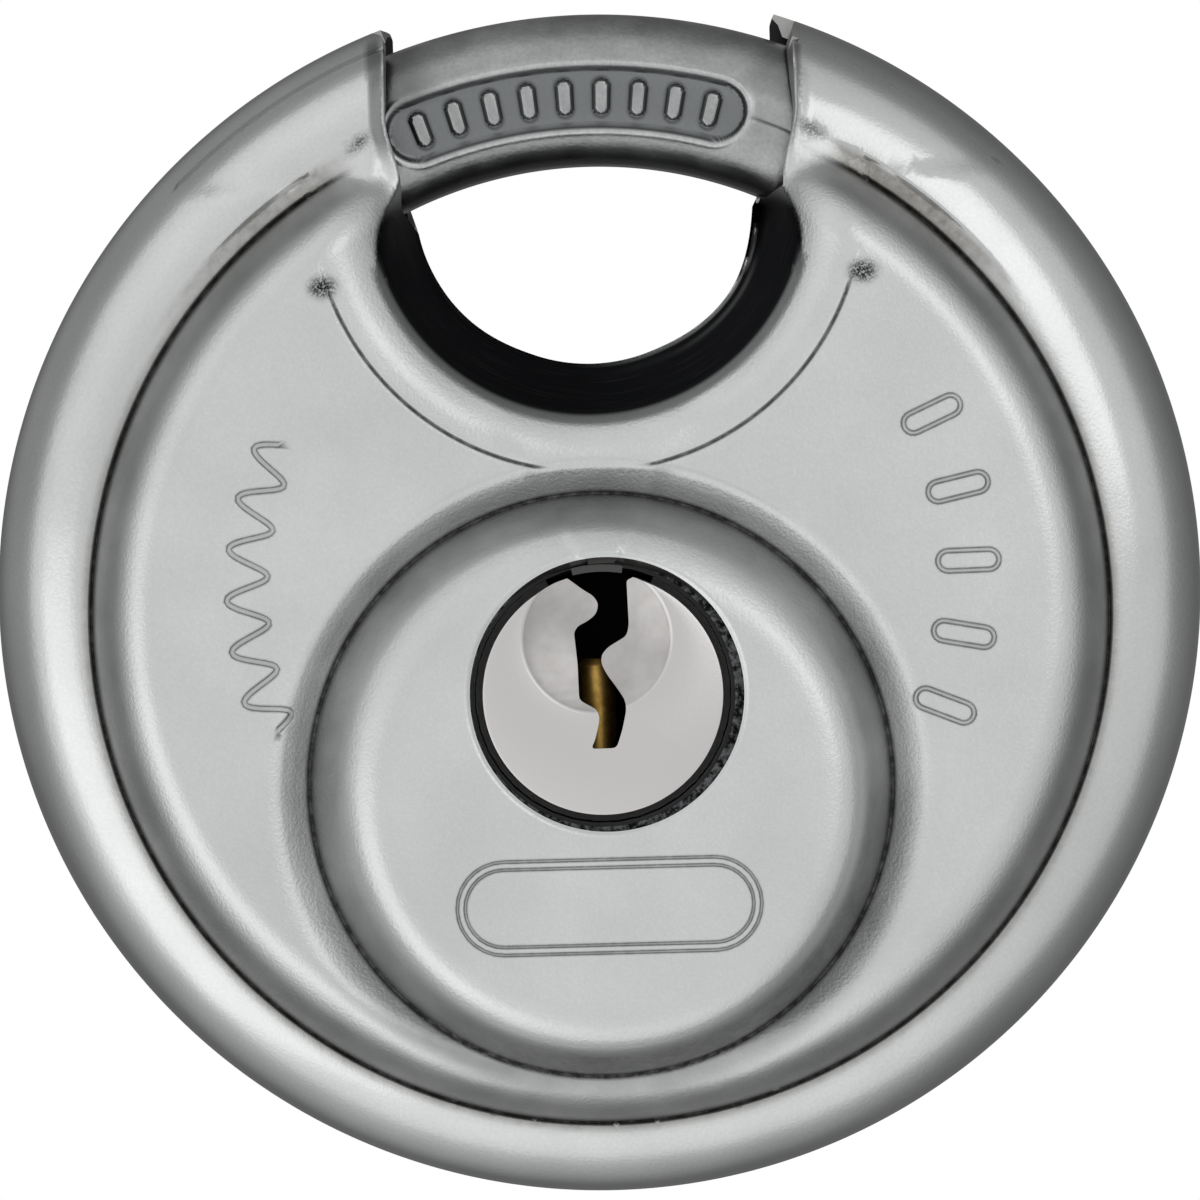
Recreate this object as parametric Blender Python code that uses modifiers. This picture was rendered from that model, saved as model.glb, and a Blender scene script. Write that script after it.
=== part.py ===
"""Disc padlock, 50 mm: two drawn shells, a shackle that slides round inside their rim, and a five-pin lock.

The lock is drawn lying on its back, as a pressing is: x to the right, y towards the shackle and z out
of the front face, with zero at the middle of the disc on the seam between the shells. One empty,
lock_axes, then stands it up, so that the front faces -Y, the shackle is at +Z, and the world's origin is
where the inner side of the shackle hangs on a staple.
"""

from math import asin, cos, degrees, pi, radians, sin

import bmesh
import bpy
from mathutils import Matrix, Vector

MM = 0.001
GAP = 0.3 * MM  # between pieces that touch on the real lock
SEAM = GAP / 2  # half of the gap between the two shells

# Shells, drawn from sheet
SHEET = 0.8 * MM
DISC_RADIUS = 25.0 * MM
RACE_RADIUS = 20.75 * MM  # middle of the rim's tube, which the shackle slides round in
RIM_RADIUS = DISC_RADIUS - RACE_RADIUS
RACE_INNER = 17.3 * MM  # the window's wall stops here, so that the bar can pass
PLATEAU_RADIUS = 21.0 * MM
PLATEAU_DROP = 1.0 * MM  # the plateau's middle lies this far below the disc's
PLATEAU_ROUND = 2.5 * MM
FRONT_PLATEAU = 7.2 * MM  # height above the seam
REAR_PLATEAU = 8.3 * MM

# Round boss on the front, which covers the lock's cylinder
BOSS_DROP = 8.55 * MM
BOSS_RADIUS = 11.9 * MM
BOSS_ROUND = 2.0 * MM
BOSS_FACE = 9.6 * MM
BOSS_SHOULDER = BOSS_RADIUS - 0.7 * MM  # where its rounded edge ends and its wall begins
BOSS_DRAFT = 0.9 * MM  # how far its wall leans out on the way down
BOSS_HOLLOW_DRAFT = 0.5 * MM

# Window under the shackle, and the lugs beside it
NOTCH_HEIGHT = 16.3 * MM  # middle of the notch above the disc's middle
NOTCH_RADIUS = 6.9 * MM
NOTCH_ROLL = 4.4 * MM  # how far its wall leans back by the time it reaches the plateau
# Power of the wall's section: 2 would make it an ellipse, and less keeps the lugs as low as the rim.
FRONT_LEAN = 1.6
REAR_LEAN = 1.4
LUG_FLOOR = 15.9 * MM
LEFT_MOUTH = -8.2 * MM
RIGHT_MOUTH = 8.75 * MM
REAR_RIGHT_MOUTH = 7.8 * MM

# Shackle, a round bar bent to an arc. Its angles run clockwise from the top.
BAR_RADIUS = 3.17 * MM
TOE = radians(-33)
HEEL = radians(163)
SHACKLE_TRAVEL = radians(58)
SLOT_ANGLE = pi - SHACKLE_TRAVEL / 2
SLOT_WIDTH = 3.8 * MM
SLOT_FLOOR = 20.0 * MM
SLOT_FRONT = 1.3 * MM

# Plug and its keyway
PLUG_DROP = 4.35 * MM
PLUG_RADIUS = 5.02 * MM
PLUG_FACE = 9.3 * MM
PLUG_TAIL = -5.95 * MM
PLUG_BORE = PLUG_RADIUS + GAP
SHELL_HOLE = 5.7 * MM
CLIP_GROOVE = (-5.6 * MM, -4.75 * MM)
CLIP_GROOVE_RADIUS = 4.45 * MM
CLIP_RADIUS = 6.3 * MM
CLIP_FACES = (-5.35 * MM, -4.95 * MM)
TENON_RADIUS = 2.6 * MM
TENON_FLAT = 1.9 * MM
TENON_END = -7.15 * MM
KEYWAY_END = -3.8 * MM
KEYWAY = (
    (-1.53, 6.0), (-1.53, 5.0), (-1.02, 4.67), (-0.30, 4.15), (-0.08, 3.70), (-0.30, 3.25), (-1.02, 2.76),
    (-1.02, -0.17), (-0.17, -0.72), (-0.51, -2.25), (0.51, -2.25), (0.93, -0.98), (0.93, -0.30),
    (0.30, 0.40), (0.0, 1.30), (0.25, 2.00), (1.15, 2.46), (1.15, 4.70), (1.49, 5.0), (1.49, 6.0),
)  # mm from the plug's axis

# Pins, springs and their chambers, below the plug
PIN_COUNT = 5
FIRST_PIN = 6.5 * MM
PIN_PITCH = 2.4 * MM
PIN_RADIUS = 0.75 * MM
PIN_CHAMFER = 0.1 * MM
PIN_TIP = 0.2 * MM  # radius of the flat on a key pin's nose
PIN_NOSE = 0.55 * MM
CHAMBER_RADIUS = PIN_RADIUS + GAP
CHAMBER_TOP = 2.9 * MM  # above the plug's axis
PIN_TIPS = (1.5, 0.2, 0.9, -0.4, 0.5)  # mm above the plug's axis, as the right key holds them
KEY_PIN_FOOT = -PLUG_DROP - 4.93 * MM
DRIVER_TOP = -PLUG_DROP - PLUG_RADIUS - 0.29 * MM
DRIVER_LENGTH = 2.6 * MM
WIRE_RADIUS = 0.15 * MM
COIL_RADIUS = 0.58 * MM
COIL_TURNS = 3.5

# Cylinder housing, its cover and the plate in front of it
HOUSING_RADIUS = 6.9 * MM
HOUSING_FRONT = 7.6 * MM
BARREL_FRONT = 6.0 * MM
HOUSING_REAR = -4.6 * MM
HOUSING_FOOT = -15.6 * MM
HOUSING_LEG = 2.4 * MM
LEG_REAR_STEP = 0.05 * MM  # the leg stands back from the barrel's and the flange's faces
LEG_FRONT_STEP = 0.1 * MM
FLANGE_RADIUS = 10.0 * MM
FLANGE_REAR = 3.8 * MM
COVER_THICKNESS = 0.5 * MM
PLATE_THICKNESS = 0.45 * MM

# Guide frame, which the inner side of the shackle slides on
FRAME_RADIUS = RACE_RADIUS - BAR_RADIUS - 0.33 * MM
FRAME_HALF = 3.3 * MM
FRAME_NOTCH = 9.15 * MM
FRAME_HOLE = HOUSING_RADIUS + 0.4 * MM
FRAME_FOOT = -12.5 * MM

# Driver cam: a lever on the plug's tail, whose stud swings the shackle round
LEVER_LENGTH = 13.8 * MM
LEVER_FRONT = -6.3 * MM
LEVER_REAR = -7.2 * MM
LEVER_HUB = 4.4 * MM
LEVER_TIP = 1.9 * MM
STUD_RADIUS = 1.5 * MM
STUD_FRONT = 0.9 * MM
STUD_TENON = 0.8 * MM
LEVER_REST = -SHACKLE_TRAVEL / 2 * (LEVER_LENGTH + PLUG_DROP) / LEVER_LENGTH

DISC_STEPS = 48
BOSS_STEPS = 36

STAINLESS = ("stainless_sheet", (0.62, 0.63, 0.63), 0.32, 1.0)
BAR_STEEL = ("stainless_bar", (0.38, 0.38, 0.37), 0.38, 1.0)
NICKEL = ("satin_nickel", (0.74, 0.73, 0.71), 0.22, 1.0)
BRASS = ("brass", (0.72, 0.53, 0.22), 0.30, 1.0)
ZINC = ("zinc_casting", (0.42, 0.43, 0.44), 0.50, 1.0)
HARD_STEEL = ("hardened_steel", (0.12, 0.12, 0.13), 0.45, 1.0)
SPRING_STEEL = ("spring_steel", (0.50, 0.50, 0.50), 0.30, 1.0)


def clear_scene():
    for thing in list(bpy.data.objects):
        bpy.data.objects.remove(thing, do_unlink=True)


def new_collection(name):
    made = bpy.data.collections.new(name)
    bpy.context.scene.collection.children.link(made)
    return made


def material(name, colour, roughness, metallic):
    made = bpy.data.materials.get(name)
    if made is None:
        made = bpy.data.materials.new(name)
        made.use_nodes = True
        shader = made.node_tree.nodes["Principled BSDF"]
        shader.inputs["Base Color"].default_value = (*colour, 1.0)
        shader.inputs["Roughness"].default_value = roughness
        shader.inputs["Metallic"].default_value = metallic
    return made


def place(mesh, name, where=(0, 0, 0), turn=(0, 0, 0)):
    """A new object of this mesh, under lock_axes, as a cutter until finish_part makes it a part."""
    made = bpy.data.objects.new(name, mesh)
    made.parent = AXES
    made.location = where
    made.rotation_euler = turn
    CUTTERS.objects.link(made)
    made.hide_render = True
    made.display_type = "WIRE"
    return made


def finish_part(part, name, finish, smooth_below=40):
    part.name = name
    part.data.name = name
    part.hide_render = False
    part.display_type = "TEXTURED"
    CUTTERS.objects.unlink(part)
    PARTS.objects.link(part)
    part.data.materials.clear()
    part.data.materials.append(material(*finish))
    part.data.shade_smooth()
    part.data.set_sharp_from_angle(angle=radians(smooth_below))
    return part


def boolean(part, operation, *others):
    for other in others:
        step = part.modifiers.new(f"{operation.lower()} {other.name}", "BOOLEAN")
        step.operation = operation
        step.solver = "EXACT"
        step.object = other
    return part


def cut(part, *cutters):
    return boolean(part, "DIFFERENCE", *cutters)


def join(part, *others):
    return boolean(part, "UNION", *others)


def arc(middle, radius, start, end, count):
    """Points from angle start to end in degrees, anticlockwise from +x."""
    turns = [radians(start + (end - start) * i / (count - 1)) for i in range(count)]
    return [(middle[0] + radius * cos(t), middle[1] + radius * sin(t)) for t in turns]


def turned(name, profile, steps, where=(0, 0, 0), turn=(0, 0, 0)):
    """A solid of revolution about z. The profile's (radius, z) points run from its top to its foot."""
    mesh = bpy.data.meshes.new(name)
    points = [(radius, 0, z) for radius, z in profile]
    mesh.from_pydata(points, [(i, i + 1) for i in range(len(points) - 1)], [])
    made = place(mesh, name, where, turn)
    screw = made.modifiers.new("turn", "SCREW")
    screw.steps = screw.render_steps = steps
    screw.use_merge_vertices = True
    screw.merge_threshold = 0.00001
    return made


def cylinder(name, radius, low, high, where=(0, 0), steps=32, turn=(0, 0, 0)):
    place_at = (where[0], where[1], 0) if len(where) == 2 else where
    return turned(name, [(0, high), (radius, high), (radius, low), (0, low)], steps, place_at, turn)


def box(name, low, high, where=(0, 0, 0), turn=(0, 0, 0)):
    """A box between two corners, given from the place that it stands at."""
    mesh = bpy.data.meshes.new(name)
    shape = bmesh.new()
    size = [b - a for a, b in zip(low, high)]
    middle = Vector([(a + b) / 2 for a, b in zip(low, high)])
    matrix = Matrix.Translation(middle) @ Matrix.Diagonal((*size, 1))
    bmesh.ops.create_cube(shape, size=1, matrix=matrix)
    shape.to_mesh(mesh)
    shape.free()
    return place(mesh, name, where, turn)


def solid_from_curve(name, curve, where=(0, 0, 0), turn=(0, 0, 0)):
    """The welded mesh of a curve, which Booleans can then cut."""
    holder = bpy.data.objects.new(name + "_curve", curve)
    bpy.context.scene.collection.objects.link(holder)
    bpy.context.view_layer.update()
    graph = bpy.context.evaluated_depsgraph_get()
    mesh = bpy.data.meshes.new_from_object(holder.evaluated_get(graph))
    bpy.data.objects.remove(holder, do_unlink=True)
    shape = bmesh.new()
    shape.from_mesh(mesh)
    bmesh.ops.remove_doubles(shape, verts=shape.verts, dist=0.000001)
    bmesh.ops.recalc_face_normals(shape, faces=shape.faces)
    shape.to_mesh(mesh)
    shape.free()
    return place(mesh, name, where, turn)


def plate(name, outline, low, high, where=(0, 0, 0), turn=(0, 0, 0)):
    """A flat outline, thick from low to high."""
    curve = bpy.data.curves.new(name, "CURVE")
    curve.dimensions = "2D"
    curve.fill_mode = "BOTH"
    curve.extrude = (high - low) / 2
    spline = curve.splines.new("POLY")
    spline.points.add(len(outline) - 1)
    for point, (x, y) in zip(spline.points, outline):
        point.co = (x, y, 0, 1)
    spline.use_cyclic_u = True
    made = solid_from_curve(name, curve, where, turn)
    for vertex in made.data.vertices:
        vertex.co.z += (low + high) / 2
    return made


def wire(name, points, radius, sides, where=(0, 0, 0), turn=(0, 0, 0)):
    """A round bar along these points, closed at both ends."""
    curve = bpy.data.curves.new(name, "CURVE")
    curve.dimensions = "3D"
    curve.bevel_depth = radius
    curve.bevel_resolution = sides // 2 - 2
    curve.use_fill_caps = True
    spline = curve.splines.new("POLY")
    spline.points.add(len(points) - 1)
    for point, place_at in zip(spline.points, points):
        point.co = (*place_at, 1)
    return solid_from_curve(name, curve, where, turn)


def loft(name, rings):
    """A closed solid through rings of equally many points, from its foot to its top."""
    mesh = bpy.data.meshes.new(name)
    shape = bmesh.new()
    rows = [[shape.verts.new(point) for point in ring] for ring in rings]
    count = len(rows[0])
    for below, above in zip(rows, rows[1:]):
        for i in range(count):
            j = (i + 1) % count
            shape.faces.new((below[i], below[j], above[j], above[i]))
    shape.faces.new(reversed(rows[0]))
    shape.faces.new(rows[-1])
    bmesh.ops.recalc_face_normals(shape, faces=shape.faces)
    shape.to_mesh(mesh)
    shape.free()
    return place(mesh, name)


def round_top(top, radius, rounding, foot, count=5, draft=0.0):
    """Profile of a disc with a rounded shoulder, from the middle of its top down to its foot."""
    shoulder = arc((radius - rounding, top - rounding), rounding, 90, 0, count)
    return [(0, top), *shoulder, (radius + draft, foot), (0, foot)]


def rim_profile(tube, foot, count=7):
    """Profile of the disc up to the rim's crest, where tube is the radius of the rim's round section."""
    lowest = degrees(asin(max(foot, 0) / tube))
    curve = arc((RACE_RADIUS, 0), tube, 90, lowest, count)
    under = [(curve[-1][0], foot)] if foot < 0 else []
    return [(0, tube), *curve, *under, (0, foot)]


def notch_cutter(name, radius, lean_to, power, side):
    """The window's trumpet: a U that widens from the seam to the plateau, on one side of the seam."""
    heights = [-2 * MM, *[lean_to * sin(radians(t)) for t in (0, 24, 45, 63, 78, 90)], 12 * MM]
    rings = []
    for height in heights:
        rise = min(max(height / lean_to, 0), 1)
        reach = radius + NOTCH_ROLL * (1 - (1 - rise**power) ** (1 / power))
        lower = arc((0, NOTCH_HEIGHT), reach, 180, 360, 21)
        far = NOTCH_HEIGHT + 14 * MM
        ring = [(-reach, far), *lower, (reach, far)]
        rings.append([(x, y, side * height) for x, y in ring])
    return loft(name, rings)


def shell(name, side, plateau, lean, right_mouth):
    """One drawn shell without its boss, and what is cut from it. side is 1 at the front, -1 at the rear."""
    over = (0, 0, 0) if side > 0 else (pi, 0, 0)
    low = (0, -PLATEAU_DROP, 0)
    skin = turned(name, rim_profile(RIM_RADIUS, SEAM), DISC_STEPS, turn=over)
    raised = turned(
        name + "_raised", round_top(plateau, PLATEAU_RADIUS, PLATEAU_ROUND, 2 * MM), DISC_STEPS, low, over
    )
    hollow = turned(name + "_hollow", rim_profile(RIM_RADIUS - SHEET, -1 * MM), DISC_STEPS, turn=over)
    hollow_raised = turned(
        name + "_hollow_raised",
        round_top(plateau - SHEET, PLATEAU_RADIUS - SHEET, PLATEAU_ROUND - SHEET, 1 * MM, 4),
        DISC_STEPS, low, over,
    )
    wall = notch_cutter(name + "_notch_wall", NOTCH_RADIUS + SHEET, plateau - SHEET, lean, side)
    inside_race = cylinder(name + "_inside_race", RACE_INNER, -15 * MM, 15 * MM, steps=DISC_STEPS)
    boolean(wall, "INTERSECT", inside_race)
    join(skin, raised)
    join(hollow, hollow_raised)
    notch = notch_cutter(name + "_notch", NOTCH_RADIUS, plateau, lean, side)
    mouth = box(
        name + "_mouth", (LEFT_MOUTH, LUG_FLOOR, -12 * MM), (right_mouth, 30 * MM, 12 * MM)
    )
    return skin, hollow, wall, notch, mouth


def build_front_shell():
    skin, hollow, wall, notch, mouth = shell("front", 1, FRONT_PLATEAU, FRONT_LEAN, RIGHT_MOUTH)
    low = (0, -BOSS_DROP, 0)
    outside = round_top(BOSS_FACE, BOSS_SHOULDER, BOSS_ROUND, 5 * MM, 5, BOSS_DRAFT)
    inside = round_top(
        BOSS_FACE - SHEET, BOSS_SHOULDER - SHEET, BOSS_ROUND - SHEET, 4.6 * MM, 4, BOSS_HOLLOW_DRAFT
    )
    boss = turned("boss", outside, BOSS_STEPS, low)
    boss_hollow = turned("boss_hollow", inside, BOSS_STEPS, low)
    join(skin, boss)
    join(hollow, boss_hollow)
    cut(hollow, wall)
    hole = cylinder("front_hole", SHELL_HOLE, 2 * MM, 14 * MM, (0, -PLUG_DROP), 36)
    cut(skin, notch, hollow, mouth, hole)
    finish_part(skin, "front_shell", STAINLESS)


def build_rear_shell():
    skin, hollow, wall, notch, mouth = shell("rear", -1, REAR_PLATEAU, REAR_LEAN, REAR_RIGHT_MOUTH)
    cut(hollow, wall)
    cut(skin, notch, hollow, mouth)
    finish_part(skin, "rear_shell", STAINLESS)


def build_shackle():
    count = 37
    turns = [TOE + (HEEL - TOE) * i / (count - 1) for i in range(count)]
    path = [(RACE_RADIUS * sin(t), RACE_RADIUS * cos(t), 0) for t in turns]
    bar = wire("bar", path, BAR_RADIUS, 16)
    slot = box(
        "shackle_slot",
        (-SLOT_WIDTH / 2, 15 * MM, -5 * MM),
        (SLOT_WIDTH / 2, SLOT_FLOOR, SLOT_FRONT),
        turn=(0, 0, -SLOT_ANGLE),
    )
    cut(bar, slot)
    finish_part(bar, "shackle", BAR_STEEL)


def build_guide_frame():
    body = cylinder("frame_disc", FRAME_RADIUS, -FRAME_HALF, FRAME_HALF, steps=DISC_STEPS)
    notch = cylinder("frame_notch", FRAME_NOTCH, -9 * MM, 9 * MM, (0, NOTCH_HEIGHT), 36)
    hole = cylinder("frame_hole", FRAME_HOLE, -9 * MM, 9 * MM, (0, -PLUG_DROP), 36)
    foot = box("frame_foot", (-20 * MM, -20 * MM, -9 * MM), (20 * MM, FRAME_FOOT, 9 * MM))
    leg = box(
        "frame_leg", (-HOUSING_LEG - 0.6 * MM, -18 * MM, -9 * MM), (HOUSING_LEG + 0.6 * MM, -8 * MM, 9 * MM)
    )
    cut(body, notch, hole, foot, leg)
    finish_part(body, "guide_frame", ZINC)


def pin_places():
    return [FIRST_PIN - i * PIN_PITCH for i in range(PIN_COUNT)]


def chamber(name, foot, top, at_z):
    """A pin chamber, drilled up from below the plug."""
    return cylinder(name, CHAMBER_RADIUS, foot, top, (0, 0, at_z), 16, (-pi / 2, pi / 16, 0))


def build_cylinder_housing():
    barrel = cylinder("barrel", HOUSING_RADIUS, HOUSING_REAR, BARREL_FRONT, (0, -PLUG_DROP), 36)
    flange = cylinder("flange", FLANGE_RADIUS, FLANGE_REAR, HOUSING_FRONT, (0, -BOSS_DROP), 36)
    leg = box(
        "leg",
        (-HOUSING_LEG, HOUSING_FOOT, HOUSING_REAR + LEG_REAR_STEP),
        (HOUSING_LEG, -7 * MM, HOUSING_FRONT - LEG_FRONT_STEP),
    )
    bore = cylinder("bore", PLUG_BORE, -12 * MM, 12 * MM, (0, -PLUG_DROP), 36, (0, 0, pi / 36))
    drilled = [
        chamber(f"chamber_{i}", -20 * MM, -PLUG_DROP, z) for i, z in enumerate(pin_places(), 1)
    ]
    cover_slot = box(
        "cover_slot", (-4 * MM, -19 * MM, -9 * MM), (4 * MM, HOUSING_FOOT, 9 * MM)
    )
    join(barrel, flange, leg)
    cut(barrel, cover_slot, bore, *drilled)
    finish_part(barrel, "cylinder_housing", BRASS)


def build_chamber_cover():
    top = HOUSING_FOOT - GAP
    cover = box(
        "cover",
        (-HOUSING_LEG, top - COVER_THICKNESS, HOUSING_REAR + LEG_REAR_STEP),
        (HOUSING_LEG, top, HOUSING_FRONT - LEG_FRONT_STEP),
    )
    finish_part(cover, "chamber_cover", BRASS)


def build_anti_drill_plate():
    low = HOUSING_FRONT + GAP
    disc = cylinder("drill_disc", FLANGE_RADIUS - 0.2 * MM, low, low + PLATE_THICKNESS, (0, -BOSS_DROP), 36)
    hole = cylinder("drill_hole", PLUG_BORE, 2 * MM, 14 * MM, (0, -PLUG_DROP), 36)
    cut(disc, hole)
    finish_part(disc, "anti_drill_plate", HARD_STEEL)


def build_plug():
    chamfer = 0.15 * MM
    profile = [
        (0, PLUG_FACE), (PLUG_RADIUS - chamfer, PLUG_FACE), (PLUG_RADIUS, PLUG_FACE - chamfer),
        (PLUG_RADIUS, CLIP_GROOVE[1]), (CLIP_GROOVE_RADIUS, CLIP_GROOVE[1]),
        (CLIP_GROOVE_RADIUS, CLIP_GROOVE[0]), (PLUG_RADIUS, CLIP_GROOVE[0]), (PLUG_RADIUS, PLUG_TAIL),
        (TENON_RADIUS, PLUG_TAIL), (TENON_RADIUS, TENON_END), (0, TENON_END),
    ]
    body = turned("plug_body", profile, 36, (0, -PLUG_DROP, 0), (0, 0, pi / 36))
    keyway = plate("keyway", [(x * MM, y * MM) for x, y in KEYWAY], KEYWAY_END, 12 * MM)
    keyway.location = (0, -PLUG_DROP, 0)
    drilled = [
        chamber(f"plug_chamber_{i}", -20 * MM, CHAMBER_TOP - PLUG_DROP, z)
        for i, z in enumerate(pin_places(), 1)
    ]
    flats = [
        box(
            f"tenon_flat_{side}",
            (TENON_FLAT, -4 * MM, -9 * MM),
            (4 * MM, 4 * MM, PLUG_TAIL - 0.05 * MM),
            (0, -PLUG_DROP, 0),
            (0, 0, turn - LEVER_REST),
        )
        for side, turn in (("a", 0), ("b", pi))
    ]
    cut(body, keyway, *drilled, *flats)
    finish_part(body, "plug", NICKEL)


def build_plug_clip():
    """A snap ring in the plug's groove, open at the top."""
    outer = arc((0, 0), CLIP_RADIUS, 115, 425, 32)
    inner = arc((0, 0), CLIP_GROOVE_RADIUS + GAP, 425, 115, 32)
    ring = plate("clip_ring", outer + inner, *CLIP_FACES, (0, -PLUG_DROP, 0))
    finish_part(ring, "plug_clip", SPRING_STEEL)


def lever_outline():
    """Outline of the lever: a hub and a rounded tip, joined by their common tangents. The tip is at -y."""
    lean = degrees(asin((LEVER_HUB - LEVER_TIP) / LEVER_LENGTH))
    hub = arc((0, 0), LEVER_HUB, -lean, 180 + lean, 17)
    tip = arc((0, -LEVER_LENGTH), LEVER_TIP, 180 + lean, 360 - lean, 11)
    return hub + tip


def stud_place():
    """Middle of the stud when the shackle is shut: LEVER_REST is the lever's angle from straight down."""
    return (
        -LEVER_LENGTH * sin(LEVER_REST),
        -PLUG_DROP - LEVER_LENGTH * cos(LEVER_REST),
    )


def build_driver_cam():
    at_plug = (0, -PLUG_DROP, 0)
    turn = (0, 0, -LEVER_REST)
    lever = plate("lever", lever_outline(), LEVER_REAR, LEVER_FRONT, at_plug, turn)
    hub_hole = cylinder("hub_hole", TENON_RADIUS + GAP, -9 * MM, -5 * MM, at_plug, 24)
    flats = [
        box(
            f"hub_flat_{side}",
            (TENON_FLAT + GAP, -5 * MM, -9.5 * MM),
            (5 * MM, 5 * MM, -4.5 * MM),
            turn=(0, 0, way),
        )
        for side, way in (("a", 0), ("b", pi))
    ]
    for flat in flats:
        flat.location = at_plug
        flat.rotation_euler[2] -= LEVER_REST
    cut(hub_hole, *flats)
    stud_hole = cylinder("stud_hole", STUD_TENON + GAP, -9 * MM, -5 * MM, stud_place(), 16)
    cut(lever, hub_hole, stud_hole)
    finish_part(lever, "driver_cam", HARD_STEEL)


def build_drive_stud():
    shoulder = LEVER_FRONT + GAP
    profile = [
        (0, STUD_FRONT), (STUD_RADIUS - 0.3 * MM, STUD_FRONT), (STUD_RADIUS, STUD_FRONT - 0.3 * MM),
        (STUD_RADIUS, shoulder), (STUD_TENON, shoulder), (STUD_TENON, LEVER_REAR + 0.05 * MM),
        (0, LEVER_REAR + 0.05 * MM),
    ]
    stud = turned("stud", profile, 20, (*stud_place(), 0))
    finish_part(stud, "drive_stud", HARD_STEEL)


def build_pins():
    up = (-pi / 2, 0, 0)
    for number, (at_z, tip) in enumerate(zip(pin_places(), PIN_TIPS), 1):
        length = tip * MM - PLUG_DROP - KEY_PIN_FOOT
        key_pin = [
            (0, length), (PIN_TIP, length), (PIN_RADIUS, length - PIN_NOSE), (PIN_RADIUS, PIN_CHAMFER),
            (PIN_RADIUS - PIN_CHAMFER, 0), (0, 0),
        ]
        made = turned(f"key_{number}", key_pin, 16, (0, KEY_PIN_FOOT, at_z), up)
        finish_part(made, f"key_pin_{number}", BRASS)
        driver = [
            (0, 0), (PIN_RADIUS - PIN_CHAMFER, 0), (PIN_RADIUS, -PIN_CHAMFER),
            (PIN_RADIUS, PIN_CHAMFER - DRIVER_LENGTH), (PIN_RADIUS - PIN_CHAMFER, -DRIVER_LENGTH),
            (0, -DRIVER_LENGTH),
        ]
        made = turned(f"driver_{number}", driver, 16, (0, DRIVER_TOP, at_z), up)
        finish_part(made, f"driver_pin_{number}", BRASS)


def build_springs():
    top = DRIVER_TOP - DRIVER_LENGTH - GAP - WIRE_RADIUS
    foot = HOUSING_FOOT + WIRE_RADIUS
    count = round(COIL_TURNS * 8) + 1
    for number, at_z in enumerate(pin_places(), 1):
        path = []
        for i in range(count):
            turn = 2 * pi * COIL_TURNS * i / (count - 1)
            rise = foot + (top - foot) * i / (count - 1)
            path.append((COIL_RADIUS * cos(turn), rise, at_z + COIL_RADIUS * sin(turn)))
        coil = wire(f"coil_{number}", path, WIRE_RADIUS, 8)
        finish_part(coil, f"pin_spring_{number}", SPRING_STEEL)


clear_scene()
PARTS = new_collection("disc_padlock")
CUTTERS = new_collection("cutters")
AXES = bpy.data.objects.new("lock_axes", None)
AXES.location = (0, 0, -(RACE_RADIUS - BAR_RADIUS))
AXES.rotation_euler = (pi / 2, 0, 0)
PARTS.objects.link(AXES)
build_front_shell()
build_rear_shell()
build_shackle()
build_guide_frame()
build_cylinder_housing()
build_chamber_cover()
build_anti_drill_plate()
build_plug()
build_plug_clip()
build_driver_cam()
build_drive_stud()
build_pins()
build_springs()
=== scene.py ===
"""Looks of the 50 mm disc padlock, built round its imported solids.

Everything on the lock is worked out in millimetres in the plane of the disc: x to the right, y up from the
disc's middle, and z out of the seam, towards the front on the front shell and towards the back on the rear.
to_row turns that into the row's frame, in metres. Four distances say where a point of the sheet lies: r from
the disc's middle, rho from the plateau's, b from the boss's, and d from the notch's. The numbers in the steps,
bands and bumps below are such distances, in millimetres, between which a shape or a finish fades.
"""

from math import acos, asin, atan2, ceil, cos, hypot, pi, radians, sin, sqrt

import bmesh
import bpy
import numpy as np
from mathutils import Matrix, Vector
from mathutils.geometry import delaunay_2d_cdt
from mathutils.kdtree import KDTree


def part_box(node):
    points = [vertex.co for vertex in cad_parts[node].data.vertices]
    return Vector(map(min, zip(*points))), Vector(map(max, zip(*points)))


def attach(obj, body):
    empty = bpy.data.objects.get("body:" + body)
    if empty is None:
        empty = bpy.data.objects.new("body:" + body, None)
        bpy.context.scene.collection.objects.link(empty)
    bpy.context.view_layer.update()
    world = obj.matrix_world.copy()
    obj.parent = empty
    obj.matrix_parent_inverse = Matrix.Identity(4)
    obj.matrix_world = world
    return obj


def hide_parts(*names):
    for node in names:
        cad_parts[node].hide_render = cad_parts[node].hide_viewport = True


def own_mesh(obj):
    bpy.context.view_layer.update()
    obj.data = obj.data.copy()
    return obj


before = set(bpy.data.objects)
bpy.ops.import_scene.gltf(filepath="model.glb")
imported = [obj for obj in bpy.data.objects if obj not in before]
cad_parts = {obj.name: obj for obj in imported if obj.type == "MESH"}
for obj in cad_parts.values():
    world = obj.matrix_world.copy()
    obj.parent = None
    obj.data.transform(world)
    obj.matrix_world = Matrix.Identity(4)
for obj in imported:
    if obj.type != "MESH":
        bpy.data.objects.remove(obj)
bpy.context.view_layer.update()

MM = 0.001
shell_low, shell_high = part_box("front_shell")
DISC_RADIUS = (shell_high.x - shell_low.x) / 2 / MM
DISC_HEIGHT = shell_low.z / MM + DISC_RADIUS  # of the disc's middle, in the row's frame

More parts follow.
